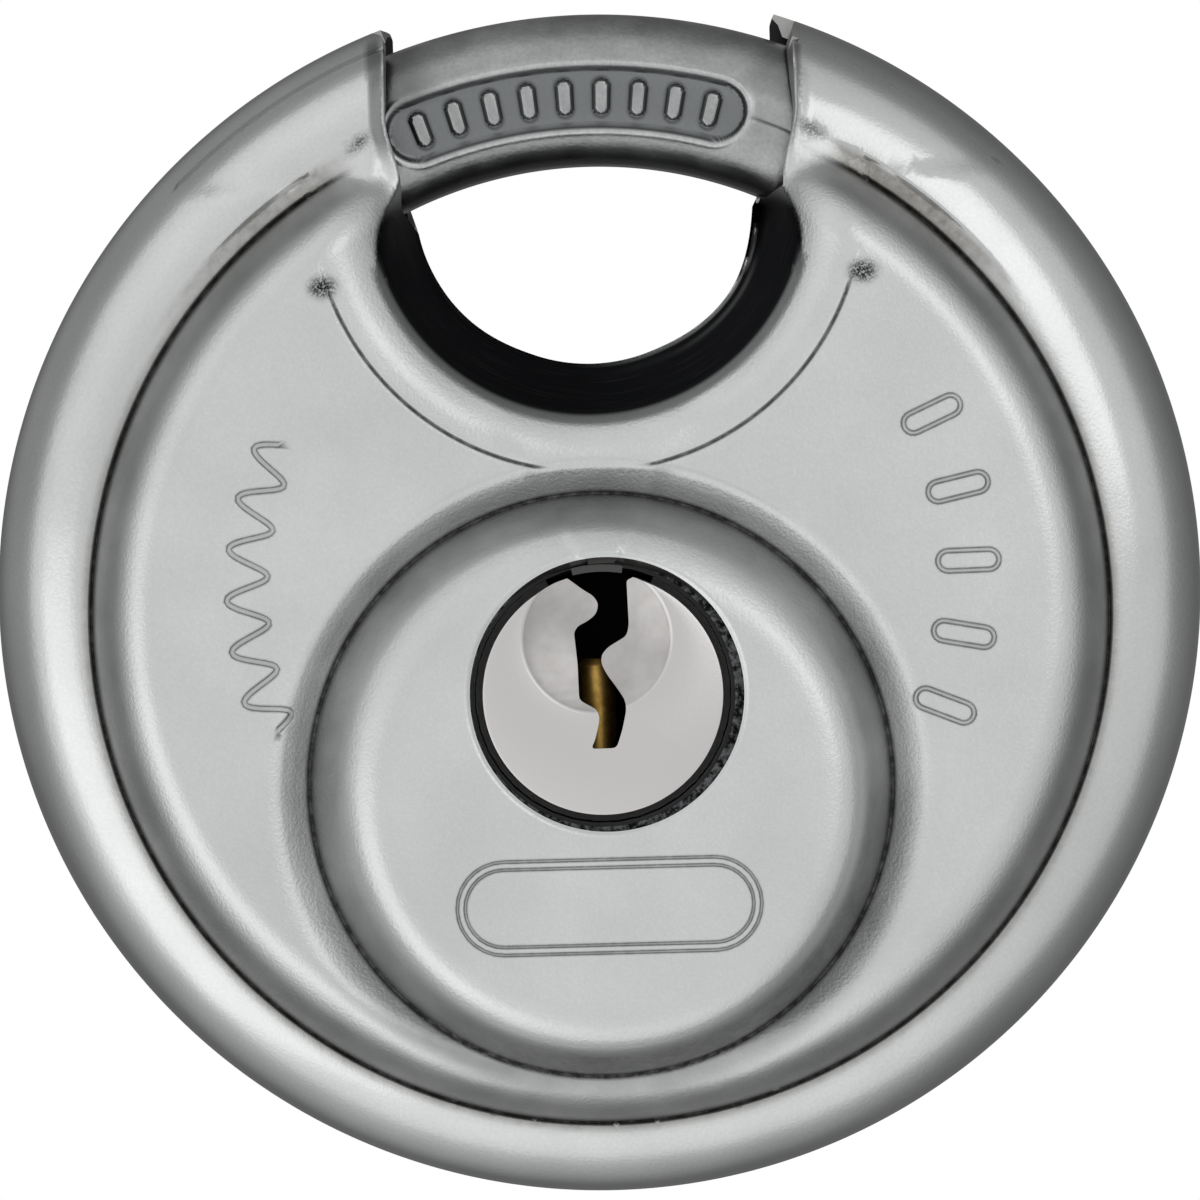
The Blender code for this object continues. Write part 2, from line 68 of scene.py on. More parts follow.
# The pressings
SHEET = 0.8
SEAM = 0.15
RACE_RADIUS = 20.75
RIM_RADIUS = 4.25
PLATEAU_RADIUS = 21.1
PLATEAU_DROP = 1.0
SHOULDER = 2.7
SHOULDER_POWER = 2.4
FRONT_PLATEAU = -shell_low.y / MM - 2.4
REAR_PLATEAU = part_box("rear_shell")[1].y / MM
NOTCH_HEIGHT = 16.3
NOTCH_RADIUS = 6.9
NOTCH_EDGE = 11.5  # where the plateau's flat ends, from the notch's middle
NOTCH_ROLL = 3.6
WALL_TOP = 8.15
WALL_SLOPE = 2.65
SEAM_ROUNDING = 0.09
FRONT_MOUTHS = (-8.3, 8.72)  # where the lugs are cut off, at their tips
REAR_MOUTHS = (-7.95, 7.85)
MOUTH_LEAN = 0.58  # how far the cuts close in towards the window
MOUTH_FEET = (16.0, 16.55)
WALL_ENDS = ((-7.05, 15.0), (6.84, 15.72))  # where the notch's wall ends at the seam
BOSS_DROP = 8.55
BOSS_SECTION = (
    (0, 9.6), (9.0, 9.6), (9.6, 9.52), (10.1, 9.30), (10.6, 8.86), (11.0, 8.28), (11.4, 7.58), (11.8, 6.86),
    (12.0, 6.52), (12.08, 6.46), (12.16, 6.51), (12.6, 6.72), (13.1, 6.95), (13.5, 7.12), (13.8, 7.18),
    (14.2, 7.2), (60, 7.2),
)  # height of the front against the distance from the boss's middle
MOAT_SHIFT = (-0.19, 0.47)  # the foot of the boss isn't concentric with its top
FOOT_MIDDLE = (MOAT_SHIFT[0], MOAT_SHIFT[1] - BOSS_DROP)
FOOT_RADIUS = 12.08
SHELL_HOLE = 5.68
HOLE_SHIFT = 0.17  # the hole in the pressing isn't quite concentric with the plug

# Fine shapes of the sheet
GROOVE_DEPTH = 0.20
WIDE_GROOVE_DEPTH = 0.16
CREASE_RADIUS = 11.42  # from the notch's middle
CREASE_DEPTH = 0.07
CREASE_STEP = 0.05
FLARE_HEIGHT = 0.16
FLARE_SHADES = (0.75, 0.3)  # how far in from the left and the right lug's cut edge the sheet carries painted shade
CUT_ROUNDING, CUT_FALL = 0.14, 0.10
HOLE_ROUNDING, HOLE_FALL = 0.25, 0.14
KNOB_PLACE, KNOB_HEIGHT = (8.85, 17.95), 0.22
SMUDGE_PLACE, SMUDGE_LEAN, SMUDGE_DEPTH = (9.4, 18.8), radians(40), 0.07
SPOTS_X, SPOT_Y = (-11.08, 11.3), 12.85
STROKE_DEPTH = 0.08

# The pressings' meshes: the rim is a strip of even rows outside INNER_RIM, and a net of triangles inside it
INNER_RIM = 24.2
RIM_COLUMNS, RIM_ROWS = 440, 10
NOTCH_COLUMNS, NOTCH_ROWS = 130, 9
MOUTH_STEP = 0.25
HOLE_STEPS = 168
GRID_REACH = 25

# The marks on the plateau and the boss
BADGE_MIDDLE, BADGE_HALF_LENGTH, BADGE_HALF_WIDTHS, BADGE_LEAN = (0, -13.1), 4.37, (1.93, 1.60), radians(-0.3)
PILL_ANGLES, PILL_RADIUS, PILL_RISE, PILL_SIZE = (66, 78, 89.5, 101, 112.5), 15.3, 0.6, (0.85, 0.42)
WAVE_START, WAVE_SWEEP = 296, 48  # degrees, from the top
WAVE_STEPS, WAVE_PERIOD = 240, 40
WAVE_RADIUS, WAVE_HEIGHT = 14.6, 0.85
BADGE_STROKE, PILL_STROKE, WAVE_STROKE = 0.05, 0.09, 0.11  # half widths

# The shackle
BAR_RADIUS = 3.17
TOE = radians(-33)
HEEL = radians(163)
SHOWN = radians(28)  # the bar is inside the case beyond this
END_ROUNDING = ((0, 0.86), (0.009, 0.96))  # angle from an end, and share of the bar's radius there
FLATNESS = (2.15, 2.6)  # powers of the bar's front section, outside and inside its centreline
PAD_RADIUS = 20.45
PAD_HALF_WIDTH = 1.3
PAD_START = radians(-23.6)
PAD_END = radians(19)
PAD_DEPTH = 0.30
PAD_BARS_EACH_SIDE = 4
PAD_BAR_SIZE = (0.46, 0.31)  # half the length of its straight part, and half its width
PAD_BAR_HEIGHT = 0.27
SLOT_ANGLE = pi - radians(58) / 2
SLOT_WIDTH = 3.8
SLOT_FLOOR = 20.0
SLOT_FRONT = 1.3

# The plug and what shows round it
PLUG_DROP = 4.35
PLUG_RADIUS = 5.02
KEYWAY = (
    (-1.54, 5.6), (-1.54, 5.01), (-1.12, 4.69), (-0.69, 4.35), (-0.27, 4.09), (-0.07, 3.75), (-0.18, 3.33),
    (-0.52, 3.07), (-0.95, 2.86), (-1.12, 2.61), (-1.01, 1.29), (-0.99, -0.20), (-0.27, -0.62), (-0.17, -0.92),
    (-0.22, -1.26), (-0.39, -1.89), (-0.56, -2.23), (0.50, -2.23), (0.75, -1.51), (0.95, -0.66), (0.90, -0.24),
    (0.58, 0.27), (0.16, 0.87), (-0.03, 1.29), (-0.01, 1.63), (0.24, 1.93), (0.67, 2.18), (1.05, 2.39),
    (1.16, 2.82), (1.12, 4.69), (1.35, 4.79), (1.52, 4.90), (1.52, 5.6),
)  # from the plug's axis
KEYWAY_BACK = -4.3
DISH_MIDDLE = (-0.19, 2.33)  # from the plug's axis
DISH_RADIUS = 3.07
DISH_DEPTH = 0.8
DISH_EDGE = ((-0.08, 0.11), (-0.03, 0.07), (0.02, 0.035), (0.07, 0.01), (0.12, 0.0))  # round its rim: out, down
PIN_COUNT = 5
FIRST_PIN, PIN_PITCH = 6.5, 2.4
CHAMBER_RADIUS, CHAMBER_TOP = 1.05, 2.9
PIN_SHIFT = -0.25
GUARD_RADIUS, GUARD_HOLE = 9.9, 5.47
LIP_RADII, LIP_HEIGHTS = (5.08, 5.38), (8.5, 8.85)
LIP_START, LIP_SWEEP, LIP_STEPS = -12.5, 23, 24  # the first two in degrees, from the top
SPRING_WIRE = 0.15
SPRING_TURNS = 3.5
SPRING_SIDES = 10

# The camera, in metres but for its drop and its roll
CAMERA_DISTANCE = 1.5
CAMERA_FIELD = 0.04992
CAMERA_DROP = 0.44
CAMERA_ROLL = 1.8
SENSOR = 36


def to_row(points, side=1):
    """Row-frame coordinates of lock-plane points. side is 1 on the front shell and -1 on the rear."""
    x, y, z = np.asarray(points, float).T
    return np.stack([x, -side * z, y + DISC_HEIGHT], 1) * MM


def smooth_step(low, high, value):
    t = np.clip((value - low) / (high - low), 0, 1)
    return t * t * (3 - 2 * t)


def band(value, start, full, falling, end):
    """1 between full and falling, fading to 0 at start and at end."""
    return smooth_step(start, full, value) * smooth_step(end, falling, value)


def bump(value, middle, width):
    return np.exp(-(((value - middle) / width) ** 2))


def smooth_min(a, b, reach):
    h = np.clip(0.5 + 0.5 * (b - a) / reach, 0, 1)
    return b + (a - b) * h - reach * h * (1 - h)


def unit(rows):
    return rows / np.maximum(np.linalg.norm(rows, axis=1), 1e-12)[:, None]


def smooth_curve(points, value):
    """A curve through these (position, height) points that never overshoots them."""
    at, height = np.array(points, float).T
    step = np.diff(at)
    slope = np.diff(height) / step
    tangent = np.zeros(len(at))
    same = slope[:-1] * slope[1:] > 0
    tangent[1:-1][same] = 2 * slope[:-1][same] * slope[1:][same] / (slope[:-1] + slope[1:])[same]
    i = np.clip(np.searchsorted(at, value) - 1, 0, len(step) - 1)
    t = (value - at[i]) / step[i]
    return (
        (2 * t**3 - 3 * t**2 + 1) * height[i]
        + (t**3 - 2 * t**2 + t) * step[i] * tangent[i]
        + (3 * t**2 - 2 * t**3) * height[i + 1]
        + (t**3 - t**2) * step[i] * tangent[i + 1]
    )


class Pressing:
    """One shell's outer surface, as a height above the seam."""

    def __init__(self, side, plateau, mouths, boss, marks=()):
        self.side = side
        self.plateau = plateau
        self.mouths = mouths
        self.boss = boss
        self.marks = marks

    def mouth(self, index, y):
        """Where the cut through a lug stands at this height: index is 0 on the left and 1 on the right."""
        at_x = self.mouths[index]
        return at_x - np.sign(at_x) * MOUTH_LEAN * smooth_step(19.9, 17.0, y)

    def inwards(self, index, x, y):
        """How far a point of the sheet lies from the cut through this lug."""
        return (x - self.mouth(index, y)) * np.sign(self.mouths[index])

    def distances(self, x, y):
        """r, rho, b and d. The notch's sides run straight up from its middle."""
        d = np.hypot(x, np.minimum(y - NOTCH_HEIGHT, 0))
        sideways = np.abs(x) / np.maximum(np.hypot(x, y - NOTCH_HEIGHT), 1)
        d = d - 0.2 * smooth_step(0.35, 0.85, sideways) * smooth_step(9.0, 7.2, d)
        return np.hypot(x, y), np.hypot(x, y + PLATEAU_DROP), boss_distance(x, y), d

    def height(self, x, y, fine=True):
        r, rho, b, d = self.distances(x, y)
        tube = np.sqrt(np.maximum(RIM_RADIUS**2 - np.maximum(r - RACE_RADIUS, 0) ** 2, 0))
        past_shoulder = np.maximum(rho - PLATEAU_RADIUS + SHOULDER, 0)
        past_notch = np.maximum(NOTCH_EDGE - d, 0)
        fall = np.minimum(np.hypot(past_shoulder / SHOULDER, past_notch / NOTCH_ROLL), 1.6)
        rise = (self.plateau - RIM_RADIUS) * (1 - fall**SHOULDER_POWER)
        # the plateau meets the rim sharply, but softly on the lugs
        softness = 0.03 + 1.1 * smooth_step(0.80, 0.90, y / np.maximum(r, 1)) * smooth_step(24.1, 22.3, r)
        rise = (rise + np.hypot(rise, softness)) / 2
        level = tube + rise
        if self.boss:
            level = level + smooth_curve(BOSS_SECTION, b) - BOSS_SECTION[-1][1]
        if fine:
            level = level + self.details(x, y, r, rho, b, d)
        slope = WALL_SLOPE * self.plateau / FRONT_PLATEAU * (1 + 0.42 * smooth_step(12.6, 16.6, y))
        up_wall = d - NOTCH_RADIUS
        rounding = SEAM_ROUNDING * (1 - np.exp(-np.maximum(up_wall, 0) / SEAM_ROUNDING))
        wall = SEAM + slope * (up_wall - rounding) + np.maximum(r - 17.1, 0) ** 1.7
        high = np.clip(rise / (self.plateau - RIM_RADIUS), 0, 0.6)
        return smooth_min(level, wall, 1.3 - 1.5 * high)

    def details(self, x, y, r, rho, b, d):
        up = y / np.maximum(r, 1)
        fades = smooth_step(0.885, 0.82, up)
        detail = -GROOVE_DEPTH * bump(rho, PLATEAU_RADIUS, 0.10) * fades
        # beside the lugs the groove is wider, with a flat bottom
        wide = smooth_step(0.55, 0.75, up) * fades
        detail -= WIDE_GROOVE_DEPTH * wide * band(rho, 20.9, 21.1, 21.75, 22.05)
        below_horns = smooth_step(20, 18, rho) * smooth_step(14.2, 12.9, y)
        if self.boss:
            below_horns = below_horns * smooth_step(13.45, 13.85, b)
        detail -= CREASE_STEP * below_horns * band(d, 10.4, 11.2, 11.38, 11.50)
        detail -= CREASE_DEPTH * below_horns * bump(d, CREASE_RADIUS, 0.06)
        # the cut edges of the lugs flare a little
        lug = smooth_step(16.5, 17.5, y)
        for index, way in enumerate((-1, 1)):
            inwards = self.inwards(index, x, y)
            detail += FLARE_HEIGHT * smooth_step(0.75, 0.1, np.abs(inwards)) * lug * smooth_step(24.0, 22.5, r)
            detail -= CUT_FALL * np.clip((CUT_ROUNDING - inwards) / CUT_ROUNDING, 0, 1.4) ** 2 * lug
            knob = (x - way * KNOB_PLACE[0]) ** 2 + (y - KNOB_PLACE[1]) ** 2
            detail += KNOB_HEIGHT * np.exp(-knob / 0.45)
            detail -= SMUDGE_DEPTH * smudge(x * way, y)
        if self.boss:
            hole = np.hypot(x - HOLE_SHIFT, y + PLUG_DROP)
            detail -= HOLE_FALL * np.clip((SHELL_HOLE + HOLE_ROUNDING - hole) / HOLE_ROUNDING, 0, 1) ** 2
        for mark in self.marks:
            detail -= STROKE_DEPTH * smooth_step(0.05, -0.05, mark.distance(x, y))
        return detail

    def normals(self, x, y, z, fine=True):
        step = 0.015
        gx = (self.height(x + step, y, fine) - self.height(x - step, y, fine)) / (2 * step)
        gy = (self.height(x, y + step, fine) - self.height(x, y - step, fine)) / (2 * step)
        normal = unit(np.stack([-gx, -gy, np.ones_like(gx)], 1))
        r = np.hypot(x, y)
        torus = unit(np.stack([x / r * (r - RACE_RADIUS), y / r * (r - RACE_RADIUS), z], 1) / RIM_RADIUS)
        share = smooth_step(23.0, 23.8, r)[:, None]
        return unit(normal * (1 - share) + torus * share)


def smudge(out, y):
    """1 in the middle of the dent on the shoulder of a lug; out is x, away from the window."""
    out, up = out - SMUDGE_PLACE[0], y - SMUDGE_PLACE[1]
    along = out * cos(SMUDGE_LEAN) - up * sin(SMUDGE_LEAN)
    across = out * sin(SMUDGE_LEAN) + up * cos(SMUDGE_LEAN)
    return np.exp(-((along / 0.55) ** 2 + (across / 0.24) ** 2))


def foot_shift(x, y, b):
    """How much further out the foot of the boss lies in this direction."""
    shift = (MOAT_SHIFT[0] * x + MOAT_SHIFT[1] * (y + BOSS_DROP)) / np.maximum(b, 1)
    return shift * smooth_step(9.5, 12.0, b) * smooth_step(14.6, 12.6, b)


def boss_distance(x, y):
    b = np.hypot(x, y + BOSS_DROP)
    return b - foot_shift(x, y, b)


def make_tree(points):
    tree = KDTree(len(points))
    for i, (x, y) in enumerate(points):
        tree.insert((x, y, 0), i)
    tree.balance()
    return tree


class Engraving:
    """A stroke pressed into the sheet along one or more lines of points."""

    def __init__(self, lines, half_width):
        self.lines = [np.asarray(line, float) for line in lines]
        self.half_width = half_width
        dense = []
        for line in self.lines:
            for start, end in zip(line[:-1], line[1:]):
                count = max(1, ceil(np.hypot(*(end - start)) / 0.03))
                dense.append(start + (end - start) * np.arange(count)[:, None] / count)
            dense.append(line[-1:])
        dense = np.concatenate(dense)
        self.tree = make_tree(dense)
        self.low, self.high = dense.min(0) - 1, dense.max(0) + 1

    def distance(self, x, y):
        """Distance outside the stroke, or 9 far from it."""
        found = np.full(len(x), 9.0)
        near = (x > self.low[0]) & (x < self.high[0]) & (y > self.low[1]) & (y < self.high[1])
        for i in np.flatnonzero(near):
            found[i] = self.tree.find((x[i], y[i], 0))[2] - self.half_width
        return found

    def points(self):
        """Rows of points along both sides of the stroke."""
        rows = []
        for line in self.lines:
            along = np.diff(line, axis=0)
            length = np.concatenate([[0], np.cumsum(np.hypot(*along.T))])
            at = np.arange(0, length[-1], 0.15)
            x, y = np.interp(at, length, line[:, 0]), np.interp(at, length, line[:, 1])
            tangent = unit(np.stack([np.gradient(x), np.gradient(y)], 1))
            across = np.stack([-tangent[:, 1], tangent[:, 0]], 1)
            for offset in (0, 0.055, -0.055, 0.10, -0.10, 0.15, -0.15, 0.21, -0.21):
                rows.append(np.stack([x, y], 1) + across * offset)
        return np.concatenate(rows)


def stadium(middle, half_length, half_width, lean):
    """A closed outline with straight sides and round ends, its length turned by lean from +x."""
    steps = 14
    found = []
    for way in (1, -1):
        for i in range(steps + 1):
            turn = radians(-90 + 180 * i / steps)
            found.append((way * (half_length + half_width * cos(turn)), way * half_width * sin(turn)))
    found.append(found[0])
    return [
        (middle[0] + x * cos(lean) - y * sin(lean), middle[1] + x * sin(lean) + y * cos(lean))
        for x, y in found
    ]


def ring(middle, radius, count):
    turn = np.arange(count) * 2 * pi / count
    return np.stack([middle[0] + radius * np.cos(turn), middle[1] + radius * np.sin(turn)], 1)


def rings(middle, radii, step):
    """Rings whose points stand in line with one another, so that triangles between them are even."""
    count = ceil(2 * pi * radii[0] / step)
    return np.concatenate([ring(middle, radius, count) for radius in radii])


def boss_rings(distances, step):
    """Rings of constant boss_distance."""
    found = []
    count = ceil(2 * pi * distances[0] / step)
    for distance in distances:
        x, y = ring((0, -BOSS_DROP), distance, count).T
        shift = foot_shift(x, y, np.full_like(x, distance))
        scale = (distance + shift) / distance
        found.append(np.stack([x * scale, (y + BOSS_DROP) * scale - BOSS_DROP], 1))
    return np.concatenate(found)


def notch_rings(radii, step):
    """Rings round the notch's lower half, and straight lines up from their ends."""
    found = []
    turn = np.linspace(-pi / 2, pi / 2, ceil(pi * radii[0] / step))
    for radius in radii:
        found.append(np.stack([radius * np.sin(turn), NOTCH_HEIGHT - radius * np.cos(turn)], 1))
        up = np.arange(NOTCH_HEIGHT + step, NOTCH_HEIGHT + 5, step)
        for side in (-1, 1):
            found.append(np.stack([np.full_like(up, side * radius), up], 1))
    return np.concatenate(found)


def hexagons(step, middle=(0, 0), reach=50):
    """An even grid within reach of this middle and of its mirror image."""
    rows = np.arange(-GRID_REACH, GRID_REACH, step * 0.866)
    columns = np.arange(-GRID_REACH, GRID_REACH, step)
    grid = [np.stack([columns + step / 2 * (i % 2), np.full_like(columns, y)], 1) for i, y in enumerate(rows)]
    grid = np.concatenate(grid)
    return grid[np.hypot(np.abs(grid[:, 0]) - middle[0], grid[:, 1] - middle[1]) < reach]


def rim_row(pressing, radius):
    # the corners of the lugs are rounded off towards the silhouette
    corner = 0.5 * smooth_step(24.55, 25.1, np.array(radius)) ** 1.5
    left, right = pressing.mouths[0] - corner, pressing.mouths[1] + 0.3 * corner
    turn = np.linspace(asin(right / radius), 2 * pi + asin(left / radius), RIM_COLUMNS + 1)
    return np.stack([radius * np.sin(turn), radius * np.cos(turn)], 1)


def notch_row(pressing, share):
    """A row of the notch's wall, from its upper edge at share 0 to the seam at share 1, left to right."""
    ends = []
    for index, foot in enumerate(MOUTH_FEET):
        start, end = (float(pressing.mouth(index, foot)), foot), WALL_ENDS[index]
        x, y = (start[k] * (1 - share) + end[k] * share for k in (0, 1))
        ends.append((atan2(x, NOTCH_HEIGHT - y), sqrt(x**2 + (NOTCH_HEIGHT - y) ** 2)))
    turn = np.linspace(ends[0][0], ends[1][0], NOTCH_COLUMNS + 1)
    blend = np.linspace(0, 1, NOTCH_COLUMNS + 1)
    middle = NOTCH_RADIUS + (WALL_TOP - NOTCH_RADIUS) * (1 - share)
    middle = middle + 0.2 * share * smooth_step(0.35, 0.85, np.abs(np.sin(turn)))
    near_left = smooth_step(0.2, 0.0, blend)
    near_right = smooth_step(0.8, 1.0, blend)
    radius = middle + (ends[0][1] - middle) * near_left + (ends[1][1] - middle) * near_right
    return np.stack([radius * np.sin(turn), NOTCH_HEIGHT - radius * np.cos(turn)], 1)


def mouth_line(pressing, index):
    """Points up the cut edge of a lug, without its ends."""
    top = sqrt(INNER_RIM**2 - pressing.mouths[index] ** 2)
    foot = MOUTH_FEET[index]
    y = np.linspace(foot, top, ceil((top - foot) / MOUTH_STEP) + 1)[1:-1]
    return np.stack([pressing.mouth(index, y), y], 1)


def inside(pressing, points, margin):
    """Which points lie in the net's area, at least margin from its border."""
    x, y = points.T
    border = notch_row(pressing, 0)
    turns = np.arctan2(border[:, 0], NOTCH_HEIGHT - border[:, 1])
    reach = np.hypot(border[:, 0], border[:, 1] - NOTCH_HEIGHT)
    turn = np.arctan2(x, NOTCH_HEIGHT - y)
    clear_of_notch = np.hypot(x, y - NOTCH_HEIGHT) > np.interp(turn, turns, reach) + margin
    beside = (x < pressing.mouth(0, y) - margin) | (x > pressing.mouth(1, y) + margin)
    above = y > np.where(x < 0, *MOUTH_FEET)
    ok = (np.hypot(x, y) < INNER_RIM - margin) & np.where(above, beside, clear_of_notch)
    if pressing.boss:
        ok &= np.hypot(x - HOLE_SHIFT, y + PLUG_DROP) > SHELL_HOLE + margin
    return ok


def thin_out(groups):
    """The points of (points, least distance) groups, each kept only if it stands clear of earlier groups."""
    kept = groups[0][0]
    for points, least in groups[1:]:
        tree = make_tree(kept)
        clear = [tree.find((x, y, 0))[2] > least for x, y in points]
        kept = np.concatenate([kept, points[np.array(clear, bool)]])
    return kept


def within(points, loops, places):
    """Which places lie inside the area that these loops of points bound."""
    inside_area = np.zeros(len(places), bool)
    x, y = places.T
    for loop in loops:
        for (ax, ay), (bx, by) in zip(points[loop], points[np.roll(loop, -1)]):
            crosses = (ay > y) != (by > y)
            if crosses.any():
                inside_area ^= crosses & (x < (bx - ax) * (y - ay) / (by - ay) + ax)
    return inside_area


def net_families(pressing):
    """Points for the net, the most needed first, in families with their least distance from earlier ones."""
    near_mouths = [
        mouth_line(pressing, index) + (way * step, 0)
        for index, way in enumerate((-1, 1))
        for step in (0.05, 0.1, 0.16, 0.25, 0.4, 0.6, 0.85)
    ]
    plateau = (0, -PLATEAU_DROP)
    groove = [0, 0.06, -0.06, 0.13, -0.13, 0.22, -0.22, 0.34, -0.34, 0.5, -0.5, 0.7, 0.85, 1.0]
    shoulder = [0.7, 0.92, 1.15, 1.4, 1.7, 2.0, 2.35, 2.7]
    families = [(mark.points(), 0.045) for mark in pressing.marks]
    families += [
        (np.concatenate(near_mouths), 0.03),
        (rings(plateau, PLATEAU_RADIUS + np.array(groove), 0.34), 0.05),
        (rings(plateau, PLATEAU_RADIUS - np.array(shoulder), 0.4), 0.15),
    ]
    if pressing.boss:
        hole = [0.08, 0.17, 0.27, 0.45, 0.7]
        boss_side = [11.65, 11.45, 11.25, 11.05, 10.85, 10.65, 10.4, 10.15, 9.85, 9.5, 9.1, 8.8]
        moat = [12.5, 12.7, 12.95, 13.2, 13.45, 13.7, 13.95, 14.25]
        families += [
            (rings((HOLE_SHIFT, -PLUG_DROP), SHELL_HOLE + np.array(hole), 0.22), 0.07),
            (boss_rings([12.08, 12.02, 12.14, 11.94, 12.22, 11.82, 12.34], 0.3), 0.05),
            (boss_rings(boss_side + moat, 0.36), 0.14),
        ]
    beside_notch = notch_rings(np.arange(8.26, 9.3, 0.11), 0.16)
    roll = [8.4, 8.65, 8.85, 9.0, 9.15, 9.35, 9.6, 9.85, 10.15, 10.5, 10.85, 11.15, 11.7, 12.0]
    return families + [
        (beside_notch[beside_notch[:, 1] > 13.2], 0.07),
        (notch_rings([11.42, 11.37, 11.47, 11.31, 11.53], 0.25), 0.045),
        (notch_rings(roll, 0.3), 0.14),
        (rings((0, 0), [22.0, 22.35, 22.7, 23.05, 23.35, 23.65, 23.93], 0.36), 0.2),
        (hexagons(0.3, (9.3, 17.3), 3), 0.2),
        (hexagons(0.14, (11.3, 12.8), 1.4), 0.09),
        (hexagons(0.5), 0.3),
    ]


def anticlockwise(points, faces):
    """These triangles, each turned so that it runs anticlockwise in plan."""
    corners = points[faces]
    turns = np.cross(corners[:, 1] - corners[:, 0], corners[:, 2] - corners[:, 0])
    faces[turns < 0] = faces[turns < 0][:, ::-1]
    return faces


def net(pressing):
    """Triangles over the plan of the pressing inside its rim: its points and faces, and how many of its
    points stand on the rim, the notch and the left lug's cut edge."""
    outer = rim_row(pressing, INNER_RIM)
    lower = notch_row(pressing, 0)
    left = mouth_line(pressing, 0)[::-1]
    right = mouth_line(pressing, 1)
    # once round: out along the rim to the left mouth, down it, along the notch, and up the right mouth
    border = np.concatenate([outer, left, lower, right])
    loops = [np.arange(len(border))]
    if pressing.boss:
        hole = ring((HOLE_SHIFT, -PLUG_DROP), SHELL_HOLE, HOLE_STEPS)
        loops.append(len(border) + np.arange(len(hole)))
        border = np.concatenate([border, hole])
    groups = [(border, 0)]
    for points, least in net_families(pressing):
        groups.append((points[inside(pressing, points, 0.04)], least))
    points = thin_out(groups)
    edges = [(int(a), int(b)) for loop in loops for a, b in zip(loop, np.roll(loop, -1))]
    made = delaunay_2d_cdt([Vector(p) for p in points], edges, [], 0, 1e-6, True)
    order = np.array([sources[0] if sources else -1 for sources in made[3]])
    faces = anticlockwise(points, order[np.array(made[2])])
    faces = faces[within(points, loops, points[faces].mean(1))]
    return points, faces, len(outer), len(lower), len(left)


def strip_faces(rows):
    """Triangles between rows of vertex numbers."""
    a, b = rows[:-1, :-1].ravel(), rows[:-1, 1:].ravel()
    c, d = rows[1:, 1:].ravel(), rows[1:, :-1].ravel()
    return np.concatenate([np.stack([a, b, c], 1), np.stack([a, c, d], 1)])


def outer_surface(pressing):
    """Points in plan, their heights, and anticlockwise triangles of the whole outer surface."""
    points, faces, n_outer, n_lower, n_left = net(pressing)
    n = len(points)
    all_points, all_heights = [points], [pressing.height(*points.T)]
    first = asin((INNER_RIM - RACE_RADIUS) / RIM_RADIUS)
    last = acos(SEAM / RIM_RADIUS)
    rim_numbers = [np.arange(n_outer)]
    for i in range(1, RIM_ROWS + 1):
        turn = first + (last - first) * i / RIM_ROWS
        row = rim_row(pressing, RACE_RADIUS + RIM_RADIUS * sin(turn))
        rim_numbers.append(n + np.arange(len(row)))
        n += len(row)
        all_points.append(row)
        all_heights.append(np.full(len(row), RIM_RADIUS * cos(turn)))
    notch_numbers = [n_outer + n_left + np.arange(n_lower)]
    for i in range(1, NOTCH_ROWS + 1):
        row = notch_row(pressing, 1 - (1 - i / NOTCH_ROWS) ** 1.6)
        notch_numbers.append(n + np.arange(len(row)))
        n += len(row)
        all_points.append(row)
        all_heights.append(pressing.height(*row.T))
    points = np.concatenate(all_points)
    faces = np.concatenate([faces, strip_faces(np.array(rim_numbers)), strip_faces(np.array(notch_numbers))])
    return points, np.concatenate(all_heights), anticlockwise(points, faces)


def border_edges(faces):
    ends = np.concatenate([faces[:, [0, 1]], faces[:, [1, 2]], faces[:, [2, 0]]])
    top = ends.max() + 1
    ahead, back = ends[:, 0] * top + ends[:, 1], ends[:, 1] * top + ends[:, 0]
    return ends[~np.isin(ahead, back)]


def show(name, data):
    piece = bpy.data.objects.new(name, data)
    bpy.context.scene.collection.objects.link(piece)
    return piece


def set_attributes(mesh, marks):
    for title, values in marks.items():
        attribute = mesh.attributes.new(title, "FLOAT", "POINT")
        attribute.data.foreach_set("value", values.astype(np.float32))


